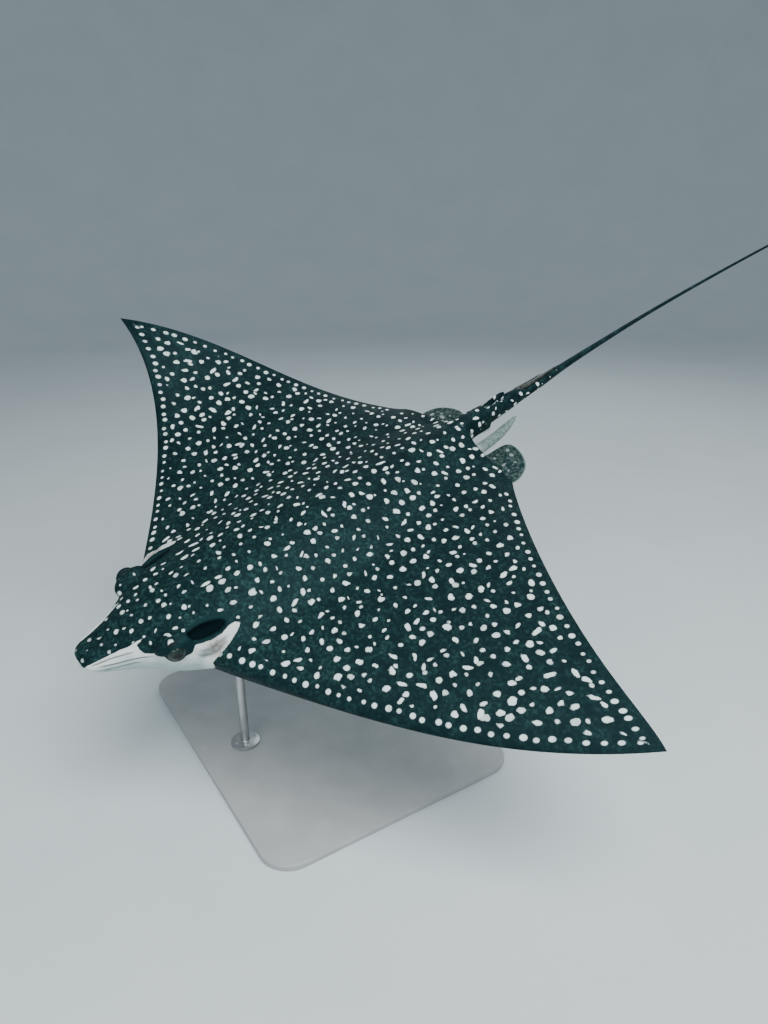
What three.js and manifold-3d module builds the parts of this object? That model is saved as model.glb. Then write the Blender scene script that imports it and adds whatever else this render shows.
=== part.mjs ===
// Spotted eagle ray, an adult male, life-size, gliding nose-down and banked to its left
// on a two-rod display stand.
//
// Everything is in millimetres with +Z up. The origin is the middle of the base's
// underside. The ray heads towards -Y, and its left wing is on +X.
//
// The ray is worked out in a frame of its own, level and with its snout at (0, 0):
//   left = X (plus to the animal's left), aft = Y (back from the snout), up = Z.
// Its plan is drawn flat first, then each wing is bent along its span, and last the
// whole animal is tilted and set on the rods.

import * as THREE from 'three';
import { mergeVertices } from 'three/addons/utils/BufferGeometryUtils.js';
import Module from 'manifold-3d';

const wasm = await Module();
wasm.setup();

const DEG = Math.PI / 180;

// ---------------------------------------------------------------- driving sizes

// The disc's plan, as [aft, left]. The two edges are cubic curves.
const WING_ROOT_FRONT = [185, 153];
const WING_TIP = [540, 750];
const WING_ROOT_REAR = [876, 178];
const LEADING_EDGE = [WING_ROOT_FRONT, [282, 317], [417, 537], WING_TIP];
const TRAILING_EDGE = [WING_TIP, [644, 650], [740, 371], WING_ROOT_REAR];
const DISC_END = 905;      // where the disc's rounded rear corners have run into the tail
const BODY_END = 962;      // the body's last ring, inside the tail
const TAIL_HALF_WIDTH = 25;
const RING_STEPS = 12;     // points from the midline to the edge

// The head's outline from above, and the thick middle of the body: [aft, half width].
const HEAD_OUTLINE = [[0, 8], [5, 22], [15, 35], [45, 51], [75, 64], [105, 82], [127, 101],
  [150, 118], [170, 133], WING_ROOT_FRONT];
const CORE_WIDTH = [[0, 8], [5, 22], [15, 35], [45, 51], [75, 64], [105, 82], [127, 101],
  [150, 118], [200, 142], [300, 172], [450, 182], [600, 168], [750, 124], [860, 72], [905, 32],
  [BODY_END, 20]];

// Height of the back and depth of the belly on the midline, from the body's edge: [aft, size].
const BACK = [[0, 4], [5, 9], [15, 14], [45, 22], [75, 33], [110, 48], [150, 59], [200, 67],
  [300, 75], [450, 78], [600, 68], [700, 62], [800, 59], [880, 54], [905, 44],
  [BODY_END, 32]];
const BELLY = [[0, 6], [5, 13], [15, 19], [45, 27], [75, 39], [110, 54], [150, 68], [200, 80],
  [300, 97], [450, 102], [600, 86], [750, 54], [850, 34], [905, 14], [BODY_END, -8]];

const EDGE_HEIGHT = 15;    // the disc's edge, above the snout-to-tail axis
const SNOUT_RISE = 30;     // the snout is carried this much higher again
const SNOUT_RISE_END = 230;
const TAIL_RISE = 20;      // and so is the body's end, into the tail
const WING_TOP = 33;       // half thicknesses of the wing at the midline
const WING_UNDER = 27;
const EDGE_HALF = 0.8;     // half thickness of the rim

// Each wing's bend. The slopes are the wing's rise at its root, then what the first,
// second and third power of the share of the span add to it, in degrees.
const ROOT_SPAN = 120;     // inside this the disc is flat
const OUTER_SPAN = WING_TIP[1] - ROOT_SPAN;
const LEFT_WING = { side: 1, slopes: [-2.8, -0.5, 9.0, 7.6], twist: -17.8, sweep: [-8, 100] };
const RIGHT_WING = { side: -1, slopes: [-1.5, 22.3, 37.7, 12.4], twist: 1.6, sweep: [52, -152] };
const TWIST_AXIS = [270, 300];  // the line a wing twists about: aft at the root, then aft more

// The tail's middle line as [aft, left, up] and its radius as [aft, radius].
const TAIL_LINE = [[800, 0, 36], [880, 0, 47], [950, -1, 48.5], [1000, -3, 45], [1050, -4, 41],
  [1110, -4, 42], [1180, -5, 47], [1300, -5, 53], [1550, 4, 66],
  [1900, 35, 86], [2300, 78, 103], [2700, 118, 112], [3040, 146, 112]];
const TAIL_RADIUS = [[800, 20], [840, 26], [890, 29], [950, 26], [1000, 21.5], [1035, 19], [1095, 15],
  [1155, 11.6], [1215, 9], [1335, 6.5], [1470, 5], [1650, 4], [1950, 3.2], [2300, 2.6], [3040, 1.3]];
const TAIL_SIDES = 8;

// Eyes and spiracles, given for the left side.
const EYE = { aft: 147, left: 109, up: 57, radius: 19 };
const ORBIT = { aft: 152, left: 96, up: 54, half: [25, 38, 23] };
const SPIRACLE = { aft: 207, left: 110, up: 63, half: [13, 37, 13], turn: 11 };

// Pelvic fin, as [aft, left] points of its outline, and the left clasper.
const PELVIC_OUTLINE = [[820, 46], [868, 138], [905, 161], [946, 147], [967, 110], [963, 74], [912, 63]];
const PELVIC_HEIGHT = 1;
const PELVIC_THICKNESS = 7;
// The clasper as [aft, distance beside the tail's middle line, up, radius].
const CLASPER = [[872, 30, 2, 14], [905, 37, 4, 14], [945, 40, 9, 13], [985, 40, 16, 11],
  [1012, 37, 22, 7], [1030, 35, 27, 2.5]];

// Dorsal fin as [aft, height over the tail's middle line], and the two stinging spines.
const DORSAL_OUTLINE = [[936, 12], [962, 29], [990, 36], [1014, 38.5], [1026, 33], [1022, 19], [1026, 8]];
const DORSAL_THICKNESS = 5;
const SPINES = [
  { name: 'sting_spine_long', start: 1068, end: 1200, left: 2.5, lift: 0.8, half: [4, 1.8] },
  { name: 'sting_spine_short', start: 1060, end: 1150, left: -6.5, lift: 0.8, half: [3.4, 1.6] },
];

// How the ray is held: tilt, height and stand.
const NOSE_DOWN = 19 * DEG;
const LEFT_WING_DOWN = 16.5 * DEG;
const RAY_PLACE = [-5, -456, 280];   // where the snout-to-tail axis starts
const BASE = { width: 700, length: 540, height: 12, corner: 60, bevel: 2 };
// buried is how far a rod's top, before it is cut to the belly, reaches up past it.
const RODS = [
  { name: 'stand_rod_front', aft: 300, buried: 96 },
  { name: 'stand_rod_rear', aft: 610, buried: 80 },
];
const ROD_RADIUS = 9;
const FLANGE = { radius: 30, thickness: 6 };      // at the rod's foot
const SADDLE = { radius: 21, length: 34 };        // the cup under the belly
const ROD_GAP = 0.4;

const GAP = 0.3;           // between solids that touch
const COARSE = 0.35;        // slivers smaller than this are closed up on the whole ray
const FINE = 0.25;        // and smaller than this on each part
const HEAD_CUT = 232;      // where the head is parted from the trunk
const WING_CUT = 118;      // where the wings are parted from it
const REAR_CUT = 886;      // where the tail is parted from it
const DORSAL_BOX = { left: [-12, 8], aft: [930, 1060], up: [74.5, 140] };
const TAIL_CUTS = [1290, 1880, 2480];

// ---------------------------------------------------------------- helpers

const clamp = (x, low, high) => Math.min(high, Math.max(low, x));

function ramp(x, from, to) {
  const t = clamp((x - from) / (to - from), 0, 1);
  return t * t * (3 - 2 * t);
}

// A smooth curve through [place, value] stations.
function along(stations, place, column = 1) {
  const last = stations.length - 1;
  const at = clamp(place, stations[0][0], stations[last][0]);
  let i = 0;
  while (i < last - 1 && at > stations[i + 1][0]) i += 1;
  const slope = (k) => {
    const a = stations[Math.max(0, k - 1)];
    const b = stations[Math.min(last, k + 1)];
    return (b[column] - a[column]) / (b[0] - a[0]);
  };
  const run = stations[i + 1][0] - stations[i][0];
  const t = (at - stations[i][0]) / run;
  const [p, q] = [stations[i][column], stations[i + 1][column]];
  const [m, n] = [slope(i) * run, slope(i + 1) * run];
  return (2 * t ** 3 - 3 * t ** 2 + 1) * p + (t ** 3 - 2 * t ** 2 + t) * m
    + (3 * t ** 2 - 2 * t ** 3) * q + (t ** 3 - t ** 2) * n;
}

function bezier(points, t, column) {
  const u = 1 - t;
  return u ** 3 * points[0][column] + 3 * u * u * t * points[1][column]
    + 3 * u * t * t * points[2][column] + t ** 3 * points[3][column];
}

// The half width of a disc edge at a distance aft.
function edgeAt(points, aft) {
  let [low, high] = [0, 1];
  for (let i = 0; i < 40; i += 1) {
    const middle = (low + high) / 2;
    if (bezier(points, middle, 0) < aft) low = middle;
    else high = middle;
  }
  return bezier(points, (low + high) / 2, 1);
}

// A closed mesh from rings that all have the same number of points.
function skinRings(rings) {
  const count = rings[0].length;
  const points = rings.flat();
  const faces = [];
  for (let r = 0; r < rings.length - 1; r += 1) {
    for (let i = 0; i < count; i += 1) {
      const [a, b] = [r * count + i, r * count + ((i + 1) % count)];
      faces.push(a, b, a + count, b, b + count, a + count);
    }
  }
  [0, rings.length - 1].forEach((r) => {
    const middle = new THREE.Vector3();
    rings[r].forEach((p) => middle.addScaledVector(p, 1 / count));
    points.push(middle);
    for (let i = 0; i < count; i += 1) {
      const [a, b] = [r * count + i, r * count + ((i + 1) % count)];
      if (r === 0) faces.push(b, a, points.length - 1);
      else faces.push(a, b, points.length - 1);
    }
  });
  const geometry = new THREE.BufferGeometry().setFromPoints(points);
  geometry.setIndex(faces);
  return geometry;
}

function toSolid(geometry) {
  const bare = geometry.clone();
  bare.deleteAttribute('normal');
  bare.deleteAttribute('uv');
  const merged = mergeVertices(bare, 1e-4);
  const faces = Array.from(merged.index.array);
  const build = (corners) => new wasm.Manifold(new wasm.Mesh({
    numProp: 3,
    vertProperties: new Float32Array(merged.attributes.position.array),
    triVerts: new Uint32Array(corners),
  }));
  const solid = build(faces);
  if (solid.volume() > 0) return solid;
  // A mirrored shape is inside out: each triangle is turned round.
  return build(faces.map((_, i) => faces[i + 2 - 2 * (i % 3)]));
}

function toGeometry(solid) {
  const mesh = solid.getMesh();
  const geometry = new THREE.BufferGeometry();
  geometry.setAttribute('position', new THREE.BufferAttribute(new Float32Array(mesh.vertProperties), 3));
  geometry.setIndex(Array.from(mesh.triVerts));
  return geometry;
}

function box(low, high) {
  const size = high.map((value, i) => value - low[i]);
  const geometry = new THREE.BoxGeometry(...size);
  geometry.translate(low[0] + size[0] / 2, low[1] + size[1] / 2, low[2] + size[2] / 2);
  return toSolid(geometry);
}

// An ellipsoid at [left, aft, up], turned about the upright by so many degrees.
function ellipsoid(place, half, turn = 0) {
  const geometry = new THREE.SphereGeometry(1, 12, 8);
  geometry.scale(...half);
  geometry.rotateZ(turn * DEG);
  geometry.translate(...place);
  return toSolid(geometry);
}

// A thin blade from an outline, standing out by its thickness with rounded rims.
function blade(outline, thickness) {
  const places = outline.map(([x, y]) => new THREE.Vector3(x, y, 0));
  const curve = new THREE.CatmullRomCurve3(places, true, 'centripetal');
  const rim = curve.getSpacedPoints(16).slice(0, -1).map((p) => new THREE.Vector2(p.x, p.y));
  const bevel = thickness * 0.3;
  const geometry = new THREE.ExtrudeGeometry(new THREE.Shape(rim), {
    depth: thickness - 2 * bevel, bevelEnabled: true, bevelThickness: bevel, bevelSize: bevel * 2,
    bevelOffset: -bevel * 2, bevelSegments: 1, steps: 1,
  });
  geometry.translate(0, 0, bevel - thickness / 2);
  return geometry;
}

// ---------------------------------------------------------------- the disc's shape

function halfWidth(aft) {
  if (aft < WING_ROOT_FRONT[0]) return along(HEAD_OUTLINE, aft);
  if (aft < WING_TIP[0]) return edgeAt(LEADING_EDGE, aft);
  if (aft < WING_ROOT_REAR[0]) return edgeAt(TRAILING_EDGE, aft);
  const inwards = clamp((aft - WING_ROOT_REAR[0]) / (DISC_END - WING_ROOT_REAR[0]), 0, 1);
  return TAIL_HALF_WIDTH + (WING_ROOT_REAR[1] - TAIL_HALF_WIDTH) * (1 - inwards) ** 2.2;
}

function edgeHeight(aft) {
  const snout = clamp(1 - aft / SNOUT_RISE_END, 0, 1) ** 1.6;
  return EDGE_HEIGHT + SNOUT_RISE * snout + TAIL_RISE * ramp(aft, 858, 930);
}

// How far the surface stands above (side 1) or below (side -1) the disc's edge.
function standOut(aft, out, side) {
  const width = halfWidth(aft);
  const share = clamp(out / width, 0, 1);
  const wingThere = ramp(aft, 110, 220);
  const blunt = Math.sqrt(1 - share ** 10);
  const thinning = 1 - share ** 3;
  const rearwards = ramp(aft, 430, 680);
  const edge = blunt * (1 - rearwards) + thinning * rearwards;
  const full = side > 0 ? WING_TOP : WING_UNDER;
  const wing = full * wingThere * (1 - out / (WING_TIP[1] + 8)) ** 0.9;
  const reach = Math.max(along(CORE_WIDTH, aft), aft < 150 ? width : 0);
  const across = clamp(out / reach, 0, 1);
  const round = Math.sqrt(1 - across ** 2.3);
  const gentle = (1 - across * across) ** 1.6;
  const flatten = ramp(aft, 140, 330);
  const middle = along(side > 0 ? BACK : BELLY, aft) - full * wingThere;
  return EDGE_HALF + wing * edge + middle * (round * (1 - flatten) + gentle * flatten);
}

// Bends a point of the flat disc: [aft, out] and height over the edge plane.
function bend(aft, out, height, wing) {
  const share = clamp((out - ROOT_SPAN) / OUTER_SPAN, 0, 1.01);
  const slope = (t) => DEG * (wing.slopes[0] * ramp(t, 0, 0.08) + wing.slopes[1] * t
    + wing.slopes[2] * t * t + wing.slopes[3] * t ** 3);
  let left = Math.min(out, ROOT_SPAN);
  let up = 0;
  const steps = 24;
  for (let i = 0; i < steps; i += 1) {
    const middle = slope(share * (i + 0.5) / steps);
    left += (OUTER_SPAN * share / steps) * Math.cos(middle);
    up += (OUTER_SPAN * share / steps) * Math.sin(middle);
  }
  const lean = slope(share);
  const axis = TWIST_AXIS[0] + TWIST_AXIS[1] * share;
  const twist = wing.twist * DEG * share ** 1.5;
  const back = aft - axis;
  const placed = axis + back * Math.cos(twist) + wing.sweep[0] * share ** 2 + wing.sweep[1] * share ** 4;
  return new THREE.Vector3(
    wing.side * (left - height * Math.sin(lean)),
    placed,
    up - back * Math.sin(twist) + height * Math.cos(lean) + edgeHeight(aft),
  );
}

// One ring across the disc: over the back from right to left, and under it again.
function discRing(aft, halfCount) {
  const width = halfWidth(aft);
  const power = clamp(Math.log(110 / width) / Math.log(0.5), 0.85, 2.4);
  const outs = [];
  for (let i = 0; i <= halfCount; i += 1) {
    outs.push(width * (1 - (1 - (i / halfCount) ** power) ** 1.6));
  }
  const over = (wing) => outs.map((out) => bend(aft, out, standOut(aft, out, 1), wing));
  const under = (wing) => outs.map((out) => bend(aft, out, -standOut(aft, out, -1), wing));
  return [...over(RIGHT_WING).reverse(), ...over(LEFT_WING).slice(1),
    ...under(LEFT_WING).reverse(), ...under(RIGHT_WING).slice(1)];
}

function spread(from, to, count, power = 1) {
  return Array.from({ length: count }, (_, i) => from + (to - from) * (i / count) ** power);
}

function discStations() {
  const [root, tip, rear] = [WING_ROOT_FRONT[0], WING_TIP[0], WING_ROOT_REAR[0]];
  return [...spread(0, root, 11, 1.4), ...spread(root, tip - 24, 10), tip - 24, tip - 12, tip - 4, tip,
    tip + 4, tip + 12, ...spread(tip + 24, rear, 9), ...spread(rear, DISC_END, 5), DISC_END, BODY_END];
}

// ---------------------------------------------------------------- tubes: tail, claspers, spines

// A tapering tube through [aft, left, up] points; halfSizes gives each ring's half width and height.
function tube(places, halfSizes, sides) {
  const middles = places.map(([aft, left, up]) => new THREE.Vector3(left, aft, up));
  const curve = new THREE.CatmullRomCurve3(middles);
  const rings = halfSizes.map(([share, halfWide, halfHigh]) => {
    const middle = curve.getPointAt(share);
    const heading = curve.getTangentAt(share);
    const wide = new THREE.Vector3(heading.y, -heading.x, 0).normalize();
    const high = new THREE.Vector3().crossVectors(wide, heading);
    return Array.from({ length: sides }, (_, i) => {
      const turn = (2 * Math.PI * (i + 0.5)) / sides;
      return middle.clone().addScaledVector(wide, halfWide * Math.cos(turn))
        .addScaledVector(high, halfHigh * Math.sin(turn));
    });
  });
  return skinRings(rings);
}

function tailPoint(aft) {
  return [along(TAIL_LINE, aft, 1), along(TAIL_LINE, aft, 2)];
}

function makeTail() {
  const start = TAIL_LINE[0][0];
  const end = TAIL_LINE[TAIL_LINE.length - 1][0];
  const stations = [...spread(start, end, 30, 1.45), end];
  const rings = stations.map((aft) => {
    const [left, up] = tailPoint(aft);
    const radius = along(TAIL_RADIUS, aft);
    return Array.from({ length: TAIL_SIDES }, (_, i) => {
      const turn = (2 * Math.PI * (i + 0.5)) / TAIL_SIDES;
      return new THREE.Vector3(left + radius * Math.cos(turn), aft, up + radius * Math.sin(turn));
    });
  });
  return toSolid(skinRings(rings));
}

function makeClasper(side) {
  const places = CLASPER.map(([aft, out, up]) => [aft, tailPoint(aft)[0] + side * out, up]);
  const sizes = CLASPER.map(([, , , radius], i) => [i / (CLASPER.length - 1), radius, radius * 0.8]);
  return toSolid(tube(places, sizes, 8));
}

function makeSpine(spine) {
  const shares = [0, 0.08, 0.3, 0.6, 0.85, 1];
  const taper = [0.7, 1, 0.95, 0.75, 0.45, 0.12];
  const places = shares.map((share) => {
    const aft = spine.start + (spine.end - spine.start) * share;
    const [left, up] = tailPoint(aft);
    const clear = along(TAIL_RADIUS, aft) + spine.half[1] + spine.lift + 3 * share;
    return [aft, left + spine.left * (1 - 0.4 * share), up + clear];
  });
  const sizes = shares.map((share, i) => [share, spine.half[0] * taper[i], spine.half[1] * taper[i]]);
  return toSolid(tube(places, sizes, 8));
}

// ---------------------------------------------------------------- fins

function makePelvicFin(side) {
  const geometry = blade(PELVIC_OUTLINE, PELVIC_THICKNESS);
  const spots = geometry.attributes.position;
  for (let i = 0; i < spots.count; i += 1) {
    const [aft, left, up] = [spots.getX(i), spots.getY(i), spots.getZ(i)];
    const droop = 9 * ramp(left, 60, 165) - 9 * ramp(aft, 880, 970);
    spots.setXYZ(i, side * left, aft, PELVIC_HEIGHT + up - droop);
  }
  return toSolid(geometry);
}

function makeDorsalFin() {
  const geometry = blade(DORSAL_OUTLINE, DORSAL_THICKNESS);
  const spots = geometry.attributes.position;
  for (let i = 0; i < spots.count; i += 1) {
    const [aft, height, across] = [spots.getX(i), spots.getY(i), spots.getZ(i)];
    const [left, up] = tailPoint(aft);
    spots.setXYZ(i, left + across, aft, up + height);
  }
  return toSolid(geometry);
}

// ---------------------------------------------------------------- the whole ray, then its parts

function makeFlesh() {
  let flesh = toSolid(skinRings(discStations().map((aft) => discRing(aft, RING_STEPS))));
  flesh = flesh.add(makeTail()).add(makeDorsalFin());
  [1, -1].forEach((side) => {
    const orbit = ellipsoid([side * ORBIT.left, ORBIT.aft, ORBIT.up], ORBIT.half, -side * 14);
    const opening = [side * SPIRACLE.left, SPIRACLE.aft, SPIRACLE.up];
    const hollow = ellipsoid(opening, SPIRACLE.half, -side * SPIRACLE.turn);
    const socket = ellipsoid([side * EYE.left, EYE.aft, EYE.up], Array(3).fill(EYE.radius + GAP));
    flesh = flesh.add(orbit).subtract(hollow).subtract(socket);
  });
  return flesh.asOriginal().simplify(COARSE);
}

const FAR = 4000;

// Leaves out crumbs that a cut has parted from the rest.
function biggest(solid) {
  return solid.decompose().reduce((best, one) => (one.volume() > best.volume() ? one : best));
}

// Takes what lies in a box out of the flesh, and leaves a thin gap round it.
function take(left, aft, up = [-FAR, FAR]) {
  const [low, high] = [0, 1].map((end) => [left[end], aft[end], up[end]]);
  const piece = biggest(flesh.intersect(box(low, high))).asOriginal().simplify(FINE);
  flesh = flesh.subtract(box(low.map((value) => value - GAP), high.map((value) => value + GAP)));
  return piece;
}

const SIDES = [['left', 1], ['right', -1]];
const beside = (side, near, far) => [Math.min(side * near, side * far), Math.max(side * near, side * far)];

let flesh = makeFlesh();
const fleshParts = {};

// Cuts a fin where it comes out of the flesh, with a thin gap below, beside and behind it.
function growFrom(fin, side) {
  const grown = flesh.translate([side * GAP, GAP, -GAP]);
  return biggest(fin.subtract(grown)).asOriginal().simplify(FINE);
}

SIDES.forEach(([name, side]) => {
  fleshParts[`pelvic_fin_${name}`] = growFrom(makePelvicFin(side), side);
  fleshParts[`clasper_${name}`] = growFrom(makeClasper(side), side);
});
fleshParts.dorsal_fin = take(DORSAL_BOX.left, DORSAL_BOX.aft, DORSAL_BOX.up);
SIDES.forEach(([name, side]) => {
  fleshParts[`wing_${name}`] = take(beside(side, WING_CUT, FAR), [-FAR, BODY_END]);
});
fleshParts.head = take([-FAR, FAR], [-FAR, HEAD_CUT]);
fleshParts.trunk = take([-FAR, FAR], [HEAD_CUT, REAR_CUT]);
['tail_root', 'tail_middle', 'tail_whip'].forEach((name, i) => {
  fleshParts[name] = take([-FAR, FAR], [REAR_CUT, TAIL_CUTS[i]]);
});
fleshParts.tail_tip = flesh;

const finish = (color, roughness, metalness) => () => (
  new THREE.MeshStandardMaterial({ color, roughness, metalness }));
const skinMaterial = finish(0x1f3032, 0.5, 0);
const eyeMaterial = finish(0x0b0c0d, 0.1, 0);
const spineMaterial = finish(0x44474a, 0.6, 0);
const baseMaterial = finish(0xa5a8aa, 0.5, 0.2);
const rodMaterial = finish(0xb4b6b8, 0.3, 1);

function named(name, geometry, material) {
  const mesh = new THREE.Mesh(geometry, material);
  mesh.name = name;
  return mesh;
}

const ray = new THREE.Group();
ray.rotation.set(NOSE_DOWN, LEFT_WING_DOWN, 0, 'XYZ');
ray.position.set(...RAY_PLACE);
Object.entries(fleshParts).forEach(([name, solid]) => {
  ray.add(named(name, toGeometry(solid), skinMaterial()));
});
SIDES.forEach(([name, side]) => {
  const eye = named(`eye_${name}`, new THREE.SphereGeometry(EYE.radius, 12, 8), eyeMaterial());
  eye.position.set(side * EYE.left, EYE.aft, EYE.up);
  ray.add(eye);
});
SPINES.forEach((spine) => ray.add(named(spine.name, toGeometry(makeSpine(spine)), spineMaterial())));
ray.updateMatrixWorld(true);

// ---------------------------------------------------------------- the stand

function makeBase() {
  const [w, l, c] = [BASE.width / 2 - BASE.bevel, BASE.length / 2 - BASE.bevel, BASE.corner];
  const outline = new THREE.Shape();
  outline.absarc(w - c, l - c, c, 0, Math.PI / 2);
  outline.absarc(-w + c, l - c, c, Math.PI / 2, Math.PI);
  outline.absarc(-w + c, -l + c, c, Math.PI, 1.5 * Math.PI);
  outline.absarc(w - c, -l + c, c, 1.5 * Math.PI, 2 * Math.PI);
  const geometry = new THREE.ExtrudeGeometry(outline, {
    depth: BASE.height - 2 * BASE.bevel, bevelEnabled: true, bevelThickness: BASE.bevel,
    bevelSize: BASE.bevel, bevelSegments: 1, curveSegments: 4, steps: 1,
  });
  geometry.translate(0, 0, BASE.bevel);
  return geometry;
}

// A rod stands straight up on its flange, and its saddle ends against the belly.
function makeRod(rod) {
  const middleLine = new THREE.Vector3(0, rod.aft, 0).applyMatrix4(ray.matrixWorld);
  const bottom = BASE.height + GAP;
  const height = middleLine.z - bottom;
  const saddle = height - rod.buried - SADDLE.length;
  const profile = [[0, 0], [FLANGE.radius, 0], [FLANGE.radius, FLANGE.thickness],
    [ROD_RADIUS, FLANGE.thickness], [ROD_RADIUS, saddle],
    [SADDLE.radius, saddle + SADDLE.radius - ROD_RADIUS], [SADDLE.radius, height], [0, height]];
  const geometry = new THREE.LatheGeometry(profile.map(([x, y]) => new THREE.Vector2(x, y)), 24);
  geometry.rotateX(Math.PI / 2);
  geometry.translate(middleLine.x, middleLine.y, bottom);
  const body = fleshParts.trunk.transform(ray.matrixWorld.elements).translate([0, 0, -ROD_GAP]);
  return toGeometry(toSolid(geometry).subtract(body).asOriginal().simplify(FINE));
}

const model = new THREE.Group();
model.add(ray);
model.add(named('stand_base', makeBase(), baseMaterial()));
RODS.forEach((rod) => model.add(named(rod.name, makeRod(rod), rodMaterial())));

export default model;
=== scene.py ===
# %% [markdown]
# # A spotted eagle ray on a display stand
#
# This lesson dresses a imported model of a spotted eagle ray, a male about one and a half
# metres across the wings. The solids of the frame say where everything is. Here one smooth
# skin takes the place of all the solids of flesh, and the eyes, the stinging spines and the
# stand get finer shapes and real finishes.

# %% Load the fixed frame
import math
from types import SimpleNamespace

import bmesh
import bpy
import numpy as np
from mathutils import Euler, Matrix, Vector
from mathutils.bvhtree import BVHTree
from mathutils.kdtree import KDTree


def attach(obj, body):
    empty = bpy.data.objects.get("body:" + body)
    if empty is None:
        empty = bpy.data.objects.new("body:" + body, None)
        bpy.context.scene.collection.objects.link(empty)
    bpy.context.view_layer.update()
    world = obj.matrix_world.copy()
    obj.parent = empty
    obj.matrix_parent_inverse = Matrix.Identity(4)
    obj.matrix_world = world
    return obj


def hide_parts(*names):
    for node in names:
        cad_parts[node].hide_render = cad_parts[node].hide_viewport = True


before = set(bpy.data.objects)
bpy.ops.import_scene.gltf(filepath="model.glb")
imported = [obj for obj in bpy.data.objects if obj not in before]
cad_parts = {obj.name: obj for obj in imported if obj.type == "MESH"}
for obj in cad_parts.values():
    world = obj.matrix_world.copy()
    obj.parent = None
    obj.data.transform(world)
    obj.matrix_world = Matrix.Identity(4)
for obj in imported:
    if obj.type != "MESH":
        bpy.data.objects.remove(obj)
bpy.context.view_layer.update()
print("nodes:", ", ".join(sorted(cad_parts)))

# %% Small jobs that every piece needs


def to_scene(name, mesh, material=None):
    piece = bpy.data.objects.new(name, mesh)
    bpy.context.scene.collection.objects.link(piece)
    if material:
        mesh.materials.clear()
        mesh.materials.append(material)
    return piece


def smooth(mesh):
    mesh.polygons.foreach_set("use_smooth", [True] * len(mesh.polygons))


def plain_mesh(piece):
    """The mesh that a piece's modifiers make."""
    ready = piece.evaluated_get(bpy.context.evaluated_depsgraph_get())
    return bpy.data.meshes.new_from_object(ready)


# %% [markdown]
# ## The camera
#
# The ray is looked down on from its left front. The lens is a wide one, close to the animal,
# which makes the near wing look large. A wide lens could be faked by scaling the model, but
# then every other view would be wrong, so the lens itself is set.

# %% Place the camera
CAMERA_PLACE = (1.2354, -0.6113, 1.0215)
CAMERA_TURN = (69.07, 0.48, 57.25)      # degrees about X, then Y, then Z
CAMERA_LENS = 25.8

camera_data = bpy.data.cameras.new("camera")
camera_data.lens = CAMERA_LENS
camera_data.sensor_width = 36
camera = to_scene("camera", camera_data)
camera.location = CAMERA_PLACE
camera.rotation_euler = [math.radians(angle) for angle in CAMERA_TURN]
bpy.context.scene.camera = camera
print("camera", round(math.dist(CAMERA_PLACE, (0, 0, CAMERA_PLACE[2])), 2), "m out from the middle")

# %% [markdown]
# ## The plan of the ray
#
# A ray is a flat fish: its shape is a plan, a thickness, and a bend. The sizes below are the
# same ones that the solids were made from, in millimetres, with the snout at zero. The
# disc's front and rear edges are two cubic curves, and everything else is a smooth curve
# through a few stations. Drawing the animal from such rules keeps both sides alike and
# lets the skin be as fine as it needs to be.

# %% Sizes of the disc, in millimetres
WING_ROOT_FRONT = (185, 153)            # [aft, out from the midline]
WING_TIP = (540, 750)
WING_ROOT_REAR = (876, 178)
LEADING_EDGE = (WING_ROOT_FRONT, (282, 317), (417, 537), WING_TIP)
TRAILING_EDGE = (WING_TIP, (644, 650), (740, 371), WING_ROOT_REAR)
DISC_END = 905                          # where the rear corners have run into the tail
BODY_END = 962                          # the last ring, inside the tail
TAIL_HALF_WIDTH = 25
CORNER_POWER = 2.2                      # how round the rear corners are
HEAD_OUTLINE = ((0, 8), (5, 22), (15, 35), (45, 51), (75, 64), (105, 82), (127, 101),
                (150, 118), (170, 133), WING_ROOT_FRONT)
CORE_WIDTH = ((0, 8), (5, 22), (15, 35), (45, 51), (75, 64), (105, 82), (127, 101), (150, 118),
              (200, 142), (300, 172), (450, 182), (600, 168), (750, 124), (860, 72), (905, 32),
              (BODY_END, 20))
BACK = ((0, 4), (5, 9), (15, 14), (45, 22), (75, 33), (110, 48), (150, 59), (200, 67),
        (300, 75), (450, 78), (600, 68), (700, 62), (800, 59), (880, 54), (905, 44),
        (BODY_END, 32))
BELLY = ((0, 6), (5, 13), (15, 19), (45, 27), (75, 39), (110, 54), (150, 68), (200, 80),
         (300, 97), (450, 102), (600, 86), (750, 54), (850, 34), (905, 14), (BODY_END, -8))
EDGE_HEIGHT = 15                        # the disc's edge, over the line from snout to tail
SNOUT_RISE = 30                         # the snout is carried this much higher
SNOUT_RISE_END = 230
SNOUT_POWER = 1.6
TAIL_RISE = 20                          # and so is the body's end
TAIL_RISE_SPAN = (858, 930)
WING_TOP = 33                           # half thicknesses of the wing at the midline
WING_UNDER = 27
EDGE_HALF = 0.8                         # half thickness of the rim
WING_STARTS = (110, 220)                # the wing's thickness comes in along here,
REAR_THINS = (430, 680)                 # its round edge turns to a thin one along here,
BACK_FLATTENS = (140, 330)              # and the round head turns to a low back along here
ROOT_SPAN = 120                         # inside this the disc is flat
OUTER_SPAN = WING_TIP[1] - ROOT_SPAN
LEFT_WING = {"side": 1, "slopes": (-2.8, -0.5, 9.0, 7.6), "twist": -17.8, "sweep": (-8, 100)}
RIGHT_WING = {"side": -1, "slopes": (-1.5, 22.3, 37.7, 12.4), "twist": 1.6, "sweep": (52, -152)}
TWIST_AXIS = (270, 300)                 # aft at the root, then aft more
print("the disc is", DISC_END, "mm long")

# %% Curves through stations


def ramp(x, low, high):
    """Rises smoothly from 0 at low to 1 at high."""
    t = np.clip((np.asarray(x, float) - low) / (high - low), 0, 1)
    return t * t * (3 - 2 * t)


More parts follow.
